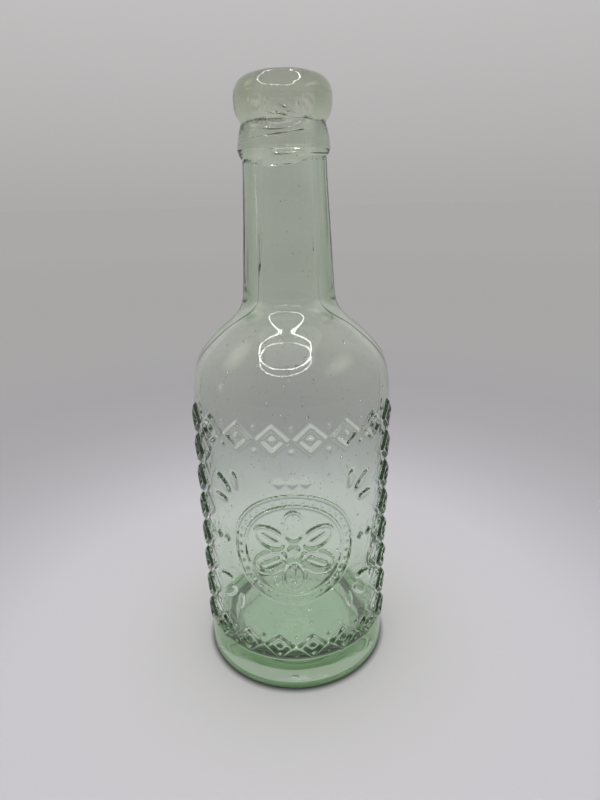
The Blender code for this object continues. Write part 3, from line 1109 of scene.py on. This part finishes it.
def add_node(tree, kind, inputs=None, **settings):
    """A node of one kind with its settings. Each input gets a plain value or is joined to a socket."""
    made = tree.nodes.new(kind)
    for setting, value in settings.items():
        setattr(made, setting, value)
    for label, value in (inputs or {}).items():
        if isinstance(value, bpy.types.NodeSocket):
            join(tree, value, made.inputs[label])
        else:
            made.inputs[label].default_value = value
    return made


def reckon(tree, operation, first, second):
    """The outcome of one Math operation on two sockets or plain numbers."""
    return add_node(tree, "ShaderNodeMath", {0: first, 1: second}, operation=operation).outputs[0]


def ranged(tree, value, start, end, low=0.0, high=1.0):
    """The value's way from start to end as a number that goes from low to high and stays there."""
    ends = {"Value": value, "From Min": start, "From Max": end, "To Min": low, "To Max": high}
    return add_node(tree, "ShaderNodeMapRange", ends).outputs["Result"]


def ramp_through(tree, share, stops, interpolation="LINEAR"):
    """The colour at a share of the way through (place, (red, green, blue)) stops from 0 to 1."""
    made = add_node(tree, "ShaderNodeValToRGB", {"Fac": share})
    made.color_ramp.interpolation = interpolation
    elements = made.color_ramp.elements
    while len(elements) < len(stops):
        elements.new(0.5)
    for element, (place, colour) in zip(elements, stops):
        element.position = place
        element.color = (*colour, 1)
    return made.outputs["Color"]


def mix_colours(tree, share, first, second):
    """The first colour where the share is 0, and the second where it is 1."""
    ends = {"Factor": share, "A": first, "B": second}
    return add_node(tree, "ShaderNodeMix", ends, data_type="RGBA").outputs["Result"]


def mix_shaders(tree, share, first, second):
    """The first shader where the share is 0, and the second where it is 1."""
    return add_node(tree, "ShaderNodeMixShader", {"Fac": share, 1: first, 2: second}).outputs[0]


def fresh_rays(tree):
    """The node that tells kinds of rays apart, and 1 for the rays that have met no dull surface."""
    ray = add_node(tree, "ShaderNodeLightPath")
    return ray, reckon(tree, "LESS_THAN", ray.outputs["Diffuse Depth"], 0.5)


def new_group(name, inputs, outputs):
    """A shader node group with number inputs and outputs, and its two end nodes."""
    group = bpy.data.node_groups.new(name, "ShaderNodeTree")
    for label, value in inputs.items():
        socket = group.interface.new_socket(label, in_out="INPUT", socket_type="NodeSocketFloat")
        socket.default_value = value
    for label in outputs:
        group.interface.new_socket(label, in_out="OUTPUT", socket_type="NodeSocketFloat")
    return group, group.nodes.new("NodeGroupInput"), group.nodes.new("NodeGroupOutput")


def new_material(name):
    """A material that uses nodes, and its tree."""
    material = bpy.data.materials.new(name)
    material.use_nodes = True
    return material, material.node_tree


# %% [markdown]
# ## Worn glass
# Old glass isn't quite clean or smooth. Handling leaves patches of faint haze, and the skin has a
# grain too fine to model. Both are the same on every piece, so they are one group, which gives a
# height for a Bump node and a roughness that changes over the surface.

# %% Group: worn glass
worn_inputs = {"Grain Size": 900.0, "Haze Size": 90.0, "Clear Roughness": 0.0, "Hazy Roughness": 0.05}
haze_starts, haze_full = 0.5, 0.75

worn_group, worn_in, worn_out = new_group("worn_glass", worn_inputs, ("Height", "Roughness"))
worn_place = add_node(worn_group, "ShaderNodeTexCoord").outputs["Object"]
grain, haze = (
    add_node(
        worn_group,
        "ShaderNodeTexNoise",
        {"Vector": worn_place, "Scale": worn_in.outputs[size], "Detail": detail, "Roughness": 0.6},
    ).outputs["Fac"]
    for size, detail in (("Grain Size", 2.0), ("Haze Size", 4.0))
)
roughness_ends = worn_in.outputs["Clear Roughness"], worn_in.outputs["Hazy Roughness"]
patches = ranged(worn_group, haze, haze_starts, haze_full, *roughness_ends)
join(worn_group, grain, worn_out.inputs["Height"])
join(worn_group, patches, worn_out.inputs["Roughness"])
print("group:", worn_group.name)

# %% [markdown]
# ## Settled dirt
# Dust has packed into the crease under the lip and below the collar, and into the collar's lap, its
# fold and a short stretch under its edge, in crumbs and not as an even line. The group takes how
# near a point is to one of these lines and breaks that up with two sizes of noise.

# %% Group: settled dirt
noise_sizes = ((3500.0, 2.0), (260.0, 1.0))
clean_level, amount_effect, dirt_softness = 0.45, 0.3, 0.06

dirt_group, dirt_in, dirt_out = new_group("settled_dirt", {"Nearness": 0.0, "Amount": 0.5}, ("Mask",))
dirt_place = add_node(dirt_group, "ShaderNodeTexCoord").outputs["Object"]
crumbs, clumps = (
    add_node(
        dirt_group, "ShaderNodeTexNoise", {"Vector": dirt_place, "Scale": scale, "Detail": detail}
    ).outputs["Fac"]
    for scale, detail in noise_sizes
)
lumpy = reckon(dirt_group, "MULTIPLY", crumbs, clumps)
packed = reckon(dirt_group, "MULTIPLY", lumpy, dirt_in.outputs["Nearness"])
lowered = reckon(dirt_group, "MULTIPLY", dirt_in.outputs["Amount"], amount_effect)
threshold = reckon(dirt_group, "SUBTRACT", clean_level, lowered)
full_dirt = reckon(dirt_group, "ADD", threshold, dirt_softness)
join(dirt_group, ranged(dirt_group, packed, threshold, full_dirt), dirt_out.inputs["Mask"])
print("group:", dirt_group.name)

# %% [markdown]
# ## Specks
# Grit and scale are stuck to old glass as tiny dark dots. Each cell of a Voronoi texture holds one
# point, and where the surface passes close to it there is a dot, in a share of the cells only.

# %% Group: specks
cells_per_metre = 600.0
dot_hardness = 2.0

speck_group, speck_in, speck_out = new_group("specks", {"Dot Size": 0.12, "Share": 0.3}, ("Mask",))
speck_place = add_node(speck_group, "ShaderNodeTexCoord").outputs["Object"]
cells = add_node(speck_group, "ShaderNodeTexVoronoi", {"Vector": speck_place, "Scale": cells_per_metre})
cell_lot = add_node(speck_group, "ShaderNodeSeparateXYZ", {0: cells.outputs["Color"]})
chosen = reckon(speck_group, "LESS_THAN", cell_lot.outputs["X"], speck_in.outputs["Share"])
dot_rim = speck_in.outputs["Dot Size"]
dot = ranged(speck_group, cells.outputs["Distance"], dot_rim, 0.0, 0.0, dot_hardness)
full_dot = reckon(speck_group, "MINIMUM", dot, 1.0)
join(speck_group, reckon(speck_group, "MULTIPLY", full_dot, chosen), speck_out.inputs["Mask"])
print("group:", speck_group.name)

# %% [markdown]
# ## The glass
# The green is in the glass and not on it: iron in the sand soaks up red and blue along the way that
# the light takes. So the surface stays almost clear, with a tint that is a little greener low down,
# and a Volume Absorption gives the colour, faint through a thin wall and strong through the solid
# base. The foot is ground matt, and its lowest two millimetres are darkened towards the dirt colour:
# partly wear where the bottle has stood, partly painted shade where it meets the floor. Where two
# pieces are fused, the marked faces are let through by Alpha, so that no surface shows inside the joint.

# %% Materials of the glass
refraction = 1.52
body_tints = ((0.935, 0.99, 0.945, 1), (0.962, 0.967, 0.95, 1))
finish_tints = ((0.99, 0.985, 0.985, 1), (0.99, 0.985, 0.985, 1))
tint_rise = (0.02, 0.1)
body_soaked = {"Color": (0.1, 0.46, 0.0, 1), "Density": 20.0}
finish_soaked = {"Color": (0.25, 0.45, 0.0, 1), "Density": 23.0}
ground_foot = (0.0006, 0.0001, 0.0, 0.08)
# Wear and painted shade at the contact: the base colour darkens towards the dirt colour over the lowest 2
# mm.
scuffed_and_shaded_foot = (0.0022, 0.001, 0.0, 0.66)
# One dark colour serves for the real dirt and for the painted shade on the foot.
dirt_and_shade_colour = (0.035, 0.026, 0.014, 1)
crumb_share = 0.68
even_dirt = 0.85
dirt_mounds = ((0.3, -14, 13), (0.25, 29, 6))
clean_front = np.radians(50)
finish_skin = 0.0118
foot_dirt = (0.0003, 0.0008, neck_top_radius - 0.001)
crease_dirt = (0.0002, 0.0013, 0.0112)
path_dirt = ((lap_path, 0.0002, 0.0003), (dash_path, 0.00016, 0.0002), (fold_path, 0.00013, 0.0002))


def along_path(path):
    """The path's height at an azimuth, and far away where the path has ended."""
    degrees, heights = np.transpose(path)
    return lambda azimuth: np.interp(np.degrees(azimuth), degrees, heights, left=1, right=1)


def side_foot_line(azimuth):
    """The collar's foot at the sides and the back, and far away at the clean front."""
    return np.where(np.abs(azimuth) > clean_front, foot_line(azimuth), 1)


def nearness_to_joints(piece, joints):
    """Stores how near each point is to the given lines, as a point attribute for the dirt."""
    mesh = piece.data
    places = np.empty(len(mesh.vertices) * 3, np.float32)
    mesh.vertices.foreach_get("co", places)
    x, y, z = places.reshape(-1, 3).T
    azimuth = np.arctan2(x, -y)
    radius = np.hypot(x, y)
    near = np.zeros(len(z))
    for line, height, line_reach, crumb_reach, outer in joints:
        away = z - height - line(azimuth)
        at_line = np.maximum(mound(away, 0, line_reach), crumb_share * mound(away, 0, crumb_reach))
        near = np.maximum(near, at_line * (radius > outer))
    degrees = np.degrees(azimuth)
    near *= even_dirt + sum(more * mound(degrees, at, half) for more, at, half in dirt_mounds)
    mesh.attributes.new("near_joint", "FLOAT", "POINT").data.foreach_set("value", near)


def glass(name, tints, soaked, dirt_amount, grain_height, speck_share):
    """Clear glass, greener below, with a worn skin, dirt, a ground foot darkened by wear and painted
    contact shade, and see-through seats.
    """
    material, tree = new_material(name)
    shader = tree.nodes["Principled BSDF"]
    shader.inputs["Transmission Weight"].default_value = 1
    shader.inputs["IOR"].default_value = refraction
    where = add_node(tree, "ShaderNodeTexCoord")
    height = add_node(tree, "ShaderNodeSeparateXYZ", {0: where.outputs["Object"]}).outputs["Z"]
    worn = add_node(tree, "ShaderNodeGroup", node_tree=worn_group)
    rough = reckon(tree, "MAXIMUM", worn.outputs["Roughness"], ranged(tree, height, *ground_foot))
    join(tree, rough, shader.inputs["Roughness"])
    bump = add_node(tree, "ShaderNodeBump", {"Distance": grain_height, "Height": worn.outputs["Height"]})
    join(tree, bump.outputs["Normal"], shader.inputs["Normal"])
    near = add_node(tree, "ShaderNodeAttribute", attribute_name="near_joint")
    dirt_inputs = {"Amount": dirt_amount, "Nearness": near.outputs["Fac"]}
    dirt = add_node(tree, "ShaderNodeGroup", dirt_inputs, node_tree=dirt_group)
    specks = add_node(tree, "ShaderNodeGroup", {"Share": speck_share}, node_tree=speck_group)
    soiled_and_shaded = reckon(tree, "MAXIMUM", dirt.outputs["Mask"], specks.outputs["Mask"])
    # The foot's dark band: wear plus painted shade where the bottle meets the floor.
    soiled_and_shaded = reckon(tree, "MAXIMUM", soiled_and_shaded, ranged(tree, height, *scuffed_and_shaded_foot))
    tint = mix_colours(tree, ranged(tree, height, *tint_rise), *tints)
    join(tree, mix_colours(tree, soiled_and_shaded, tint, dirt_and_shade_colour), shader.inputs["Base Color"])
    seat = add_node(tree, "ShaderNodeAttribute", attribute_name="seat")
    join(tree, reckon(tree, "SUBTRACT", 1.0, seat.outputs["Fac"]), shader.inputs["Alpha"])
    inside = add_node(tree, "ShaderNodeVolumeAbsorption", soaked)
    join(tree, inside.outputs["Volume"], tree.nodes["Material Output"].inputs["Volume"])
    return material


foot_joint = (side_foot_line, collar_foot, *foot_dirt)
crease_joint = (crease_line, crease_height, *crease_dirt)
path_joints = [(along_path(path), 0, *reaches, finish_skin) for path, *reaches in path_dirt]
nearness_to_joints(bottle_body, [foot_joint])
nearness_to_joints(bottle_collar, [foot_joint, crease_joint, *path_joints])
nearness_to_joints(bottle_lip, [crease_joint])

body_glass = glass(
    "body_glass", body_tints, body_soaked, dirt_amount=0.3, grain_height=0.0000025, speck_share=0.2
)
finish_glass = glass(
    "finish_glass", finish_tints, finish_soaked, dirt_amount=1.0, grain_height=0.000005, speck_share=0.12
)
bottle_body.data.materials.append(body_glass)
for piece in (bottle_collar, bottle_lip):
    piece.data.materials.append(finish_glass)
print("materials:", body_glass.name, finish_glass.name)

# %% [markdown]
# ## What each piece stands for
# Each skin rides on the bottle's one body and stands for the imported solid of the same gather.

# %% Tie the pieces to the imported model
for piece, node, slot in (
    (bottle_body, "glass_body", "body_glass"),
    (bottle_collar, "applied_collar", "finish_glass"),
    (bottle_lip, "applied_lip", "finish_glass"),
):
    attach(piece, "root")
    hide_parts(node)
    print(piece.name, "stands for", node)

# %% [markdown]
# ## The floor
# A wide pale disc with a painted pool of light: brightest round the bottle and greyer further off, as a
# sheet of white plastic is under one lamp. The grey is painted into the colour, and the light stays plain.
# Under the bottle and close round it the colour is painted light and shade: the dim green light that
# comes through the glass, a painted dark ring of shadow under the heel, and a painted contact shadow.
# A colour ramp is read in 256 steps, so the near tones have a ramp of their own. Seen through the
# glass the floor also glows, by a level that changes with the distance.

# %% Floor
floor_radius = 14.0
floor_drop = 0.0001
disc_rings, disc_around, smallest_ring = 24, 96, 0.02
floor_roughness, floor_shine = 0.7, 0.1
seen_share = 0.75
level_scale = 2.0
# Painted light and shade under and round the bottle: the dim green light through the glass, a painted dark
# ring of shadow under the heel, and a painted contact shadow.
near_painted_light_and_shadow = (
    (0.0, (0.48, 0.57, 0.46)),
    (0.0211, (0.48, 0.57, 0.46)),
    (0.028, (0.055, 0.1, 0.055)),
    (0.031, (0.065, 0.09, 0.065)),
    (0.0322, (0.19, 0.205, 0.19)),
    (0.0331, (0.46, 0.46, 0.45)),
    (0.034, (0.655, 0.645, 0.638)),
    (0.044, (0.635, 0.622, 0.622)),
)
# A painted pool of light: the floor's tone falls off away from the bottle, as if one lamp lit it.
painted_falloff_tones = (
    (0.0, (0.635, 0.622, 0.622)),
    (0.044, (0.635, 0.622, 0.622)),
    (0.055, (0.624, 0.609, 0.618)),
    (0.085, (0.592, 0.576, 0.605)),
    (0.1075, (0.574, 0.56, 0.591)),
    (0.14, (0.507, 0.494, 0.524)),
    (0.18, (0.439, 0.427, 0.45)),
    (0.24, (0.389, 0.378, 0.395)),
    (0.32, (0.372, 0.362, 0.376)),
    (0.45, (0.396, 0.388, 0.388)),
    (0.85, (0.421, 0.412, 0.407)),
    (1.8, (0.452, 0.443, 0.437)),
)
floor_levels = (
    (0.0, 0.9),
    (0.035, 0.9),
    (0.065, 1.05),
    (0.09, 1.05),
    (0.15, 0.77),
    (0.2, 0.77),
    (0.35, 0.95),
    (1.8, 0.95),
)


def disc(name, radius, height, rings, around):
    """A flat disc with its centre on the axis: rings whose radii grow by equal ratios."""
    angle = np.arange(around) * 2 * np.pi / around
    points = [
        np.column_stack((reach * np.sin(angle), -reach * np.cos(angle), np.full(around, height)))
        for reach in np.geomspace(smallest_ring, radius, rings)
    ]
    near = np.arange(around)
    middle = np.column_stack((near, np.roll(near, -1), np.full(around, rings * around)))
    mesh = bpy.data.meshes.new(name)
    faces = ring_faces(rings, around)[:, ::-1].tolist() + middle.tolist()
    mesh.from_pydata(np.vstack((*points, (0, 0, height))), [], faces)
    return placed(name, mesh)


def by_reach(tree, reach, tones, interpolation="LINEAR"):
    """The tone at a distance from the axis, read from (distance, tone) pairs."""
    widest = tones[-1][0]
    stops = [(distance / widest, tone) for distance, tone in tones]
    return ramp_through(tree, reckon(tree, "DIVIDE", reach, widest), stops, interpolation)


floor = disc("floor", floor_radius, -floor_drop, disc_rings, disc_around)
floor_material, floor_tree = new_material("floor_with_painted_light")
floor_shader = floor_tree.nodes["Principled BSDF"]
floor_shader.inputs["Roughness"].default_value = floor_roughness
floor_shader.inputs["Specular IOR Level"].default_value = floor_shine
floor_place = add_node(floor_tree, "ShaderNodeTexCoord").outputs["Object"]
from_axis = add_node(floor_tree, "ShaderNodeVectorMath", {0: floor_place}, operation="LENGTH")
floor_reach = from_axis.outputs["Value"]
# The floor's colour holds a painted pool of light far off, and painted light and shadow near the bottle.
far_painted_falloff = by_reach(floor_tree, floor_reach, painted_falloff_tones)
near_painted_tone = by_reach(floor_tree, floor_reach, near_painted_light_and_shadow)
is_near = reckon(floor_tree, "LESS_THAN", floor_reach, near_painted_light_and_shadow[-1][0])
floor_tone_with_painted_light = mix_colours(floor_tree, is_near, far_painted_falloff, near_painted_tone)
join(floor_tree, floor_tone_with_painted_light, floor_shader.inputs["Base Color"])
floor_ray, floor_fresh = fresh_rays(floor_tree)
floor_seen = reckon(floor_tree, "MULTIPLY", floor_ray.outputs["Is Transmission Ray"], floor_fresh)
floor_greys = [(distance, (level / level_scale,) * 3) for distance, level in floor_levels]
floor_grey = by_reach(floor_tree, floor_reach, floor_greys, "EASE")
floor_light = reckon(floor_tree, "MULTIPLY", floor_grey, level_scale)
floor_glow = add_node(floor_tree, "ShaderNodeEmission", {"Color": floor_tone_with_painted_light, "Strength": floor_light})
glow_share = reckon(floor_tree, "MULTIPLY", floor_seen, seen_share)
floor_mix = mix_shaders(floor_tree, glow_share, floor_shader.outputs[0], floor_glow.outputs[0])
join(floor_tree, floor_mix, floor_tree.nodes["Material Output"].inputs["Surface"])
floor.data.materials.append(floor_material)
print("floor radius:", floor_radius)

# %% [markdown]
# ## The light
# A plain white world lights the floor and the bottle evenly, and a broad soft lamp above adds the
# rest. What the glass shows is another matter. It mirrors and bends its surroundings, so camera,
# glossy and transmission rays see a world with tones: grey at the horizon, palest a little above
# it, and grey again overhead. For the glass it is also dim on the camera's side.

# %% World
even_light = 0.9
sky_tones = (
    (0.0, (0.412, 0.404, 0.401)),
    (0.27, (0.53, 0.52, 0.52)),
    (0.6, (0.5, 0.49, 0.49)),
    (1.0, (0.42, 0.42, 0.42)),
)
dim_side = 0.45
dim_start, dim_end = 0.2, 0.9

world = bpy.data.worlds.new("studio")
bpy.context.scene.world = world
world.use_nodes = True
sky_tree = world.node_tree
sky_tree.nodes.clear()
sky_place = add_node(sky_tree, "ShaderNodeTexCoord").outputs["Generated"]
sky_axes = add_node(sky_tree, "ShaderNodeSeparateXYZ", {0: sky_place})
sky_colour = ramp_through(sky_tree, sky_axes.outputs["Z"], sky_tones)
toward_front = reckon(sky_tree, "MULTIPLY", sky_axes.outputs["Y"], -1.0)
dimming = ranged(sky_tree, toward_front, dim_start, dim_end, 1.0, dim_side)
dimmed = add_node(sky_tree, "ShaderNodeVectorMath", {0: sky_colour, "Scale": dimming}, operation="SCALE")
plain_sky, camera_sky, glass_sky = (
    add_node(sky_tree, "ShaderNodeBackground", {"Color": colour, "Strength": strength}).outputs[0]
    for colour, strength in (
        ((1, 1, 1, 1), even_light),
        (sky_colour, 1.0),
        (dimmed.outputs["Vector"], 1.0),
    )
)
ray, fresh = fresh_rays(sky_tree)
bent = reckon(sky_tree, "MAXIMUM", ray.outputs["Is Glossy Ray"], ray.outputs["Is Transmission Ray"])
lighting_sky = mix_shaders(sky_tree, reckon(sky_tree, "MULTIPLY", bent, fresh), plain_sky, glass_sky)
whole_sky = mix_shaders(sky_tree, ray.outputs["Is Camera Ray"], lighting_sky, camera_sky)
add_node(sky_tree, "ShaderNodeOutputWorld", {"Surface": whole_sky})
print("even light:", even_light)

# %% Soft lamp above
lamp_place = (0, -0.05, 0.7)
lamp_side = 0.6
lamp_power = 1.0

lamp_data = bpy.data.lights.new("soft_lamp", "AREA")
lamp_data.shape = "SQUARE"
lamp_data.size = lamp_side
lamp_data.energy = lamp_power
lamp = placed("soft_lamp", lamp_data)
lamp.location = lamp_place
lamp.visible_glossy = False
lamp.visible_camera = False
print("lamp:", lamp_power, "W")

# %% [markdown]
# ## The ring of small lamps
# The studio light is a ring of small bright lamps overhead, with a gap in it. It is too small to
# light the floor evenly, but its mirror image is the ring on the shoulder and on the lip. Small
# glowing plates do that, set so close that the ring stays whole where the glass shrinks it. They
# glow only for rays that haven't met a dull surface yet, so they draw their image in the glass and
# leave the floor alone.

# %% Ring of lamps
ring_middle = np.array((-0.044, -0.175, 0.49))
ring_half_sizes = np.array((0.21, 0.182))
ring_lamps = 84
ring_gap = np.radians(14)
gap_at = np.radians(83.5)
ring_glow = 22.0
ring_colour = (1, 1, 0.97)
lamp_half_length = 0.0066
lamp_half_width = 0.0052


def glowing(name, colour, strength, fading=False):
    """A material that glows for rays that have met no dull surface, and is black otherwise. A fading
    one is clear, and its glow falls as 1 - r from the middle of a disc of radius 1."""
    material, tree = new_material(name)
    material.cycles.emission_sampling = "NONE"
    tree.nodes.clear()
    level = reckon(tree, "MULTIPLY", fresh_rays(tree)[1], strength)
    if fading:
        where = add_node(tree, "ShaderNodeTexCoord").outputs["Object"]
        reach = add_node(tree, "ShaderNodeVectorMath", {0: where}, operation="LENGTH").outputs["Value"]
        nearer = reckon(tree, "MAXIMUM", reckon(tree, "SUBTRACT", 1.0, reach), 0.0)
        level = reckon(tree, "MULTIPLY", nearer, level)
    surface = add_node(tree, "ShaderNodeEmission", {"Color": (*colour, 1), "Strength": level}).outputs[0]
    if fading:
        clear = add_node(tree, "ShaderNodeBsdfTransparent").outputs[0]
        surface = add_node(tree, "ShaderNodeAddShader", {0: surface, 1: clear}).outputs[0]
    add_node(tree, "ShaderNodeOutputMaterial", {"Surface": surface})
    return material


lamp_steps = (np.arange(ring_lamps) + 0.5) * (2 * np.pi - ring_gap) / ring_lamps
lamp_angle = gap_at + ring_gap / 2 + lamp_steps
outwards = np.column_stack((np.cos(lamp_angle), np.sin(lamp_angle), np.zeros(ring_lamps)))
sideways = np.column_stack((-np.sin(lamp_angle), np.cos(lamp_angle), np.zeros(ring_lamps)))
lamp_middles = ring_middle + outwards * (*ring_half_sizes, 0)
lamp_corners = [
    lamp_middles + long * lamp_half_length * outwards + wide * lamp_half_width * sideways
    for long, wide in ((1, 1), (1, -1), (-1, -1), (-1, 1))
]
lamp_points = np.stack(lamp_corners, axis=1).reshape(-1, 3)
lamp_faces = np.arange(ring_lamps * 4).reshape(-1, 4)
ring_mesh = bpy.data.meshes.new("ring_of_lamps")
ring_mesh.from_pydata(lamp_points, [], lamp_faces.tolist())
ring_mesh.materials.append(glowing("lamp_glow", ring_colour, ring_glow))
ring_of_lamps = placed("ring_of_lamps", ring_mesh)
ring_of_lamps.visible_camera = False
ring_of_lamps.visible_diffuse = False
ring_of_lamps.visible_shadow = False
print("lamps in the ring:", ring_lamps)

# %% [markdown]
# The pale patches at the bottle's sides are the mirror images of soft lights further off to the left
# and the right. Each is a disc that glows most in its middle and fades to nothing at its rim.

# %% Soft lights at the sides
patch_glow = 2.2
patch_colour = (1, 0.99, 0.76)
patch_sides = 24
patches_face = (0, 0, 0.115)
patches_at = (
    ("left_soft_light", (-0.67, 0.02, 0.64), 0.24, 0.24),
    ("right_soft_light", (0.64, -0.2, 0.62), 0.42, 0.13),
    ("low_left_soft_light", (-0.64, -0.07, 0.19), 0.045, 0.07),
)

patch_material = glowing("side_glow", patch_colour, patch_glow, fading=True)
rim_angle = np.arange(patch_sides) * 2 * np.pi / patch_sides
rim = np.column_stack((np.cos(rim_angle), np.sin(rim_angle), np.zeros(patch_sides)))
for name, middle, half_across, half_up in patches_at:
    patch_mesh = bpy.data.meshes.new(name)
    patch_mesh.from_pydata(rim, [], [list(range(patch_sides))])
    patch_mesh.materials.append(patch_material)
    patch = placed(name, patch_mesh)
    toward = Vector(patches_face) - Vector(middle)
    patch.matrix_world = (
        Matrix.Translation(middle)
        @ toward.to_track_quat("Z", "Y").to_matrix().to_4x4()
        @ Matrix.Diagonal((half_across, half_up, 1, 1))
    )
    patch.visible_camera = False
    patch.visible_diffuse = False
    patch.visible_transmission = False
    patch.visible_shadow = False
    print(name, "at", middle)

# %% [markdown]
# ## The camera
# The camera stands close, level with the neck, and looks down by about twenty degrees. Its lens and
# place were worked out from the bottle's outline, and it was held with a slight tilt.

# %% Camera
camera_place = np.array((0.003, -0.1781, 0.1573))
camera_pitch = np.radians(19.81)
camera_roll = np.radians(-1.18)
camera_lens, camera_sensor = 25.2, 36
camera_sees = (0.01, 100)

camera_data = bpy.data.cameras.new("camera")
camera_data.lens = camera_lens
camera_data.sensor_width = camera_sensor
camera_data.clip_start, camera_data.clip_end = camera_sees
camera = placed("camera", camera_data)
ahead = np.array((0, np.cos(camera_pitch), -np.sin(camera_pitch)))
level = np.array((1.0, 0, 0))
above = np.cross(level, ahead)
rightward = level * np.cos(camera_roll) + above * np.sin(camera_roll)
upward = above * np.cos(camera_roll) - level * np.sin(camera_roll)
axes = np.column_stack((rightward, upward, -ahead, camera_place))
camera.matrix_world = Matrix(np.vstack((axes, (0, 0, 0, 1))).tolist())
bpy.context.scene.camera = camera
print("camera at", camera_place)

# %% [markdown]
# ## Closing
# The picture is shown with the Standard view, which keeps colours as they are written. Light may
# bounce often, because what is seen through the base has crossed many faces, and very bright
# bounces are held down so that they leave no lone white dots.

# %% View and light paths
bounces = 24
brightest_bounce = 70

bpy.context.scene.view_settings.view_transform = "Standard"
light_paths = bpy.context.scene.cycles
light_paths.max_bounces = bounces
light_paths.glossy_bounces = bounces
light_paths.transmission_bounces = bounces
light_paths.sample_clamp_indirect = brightest_bounce
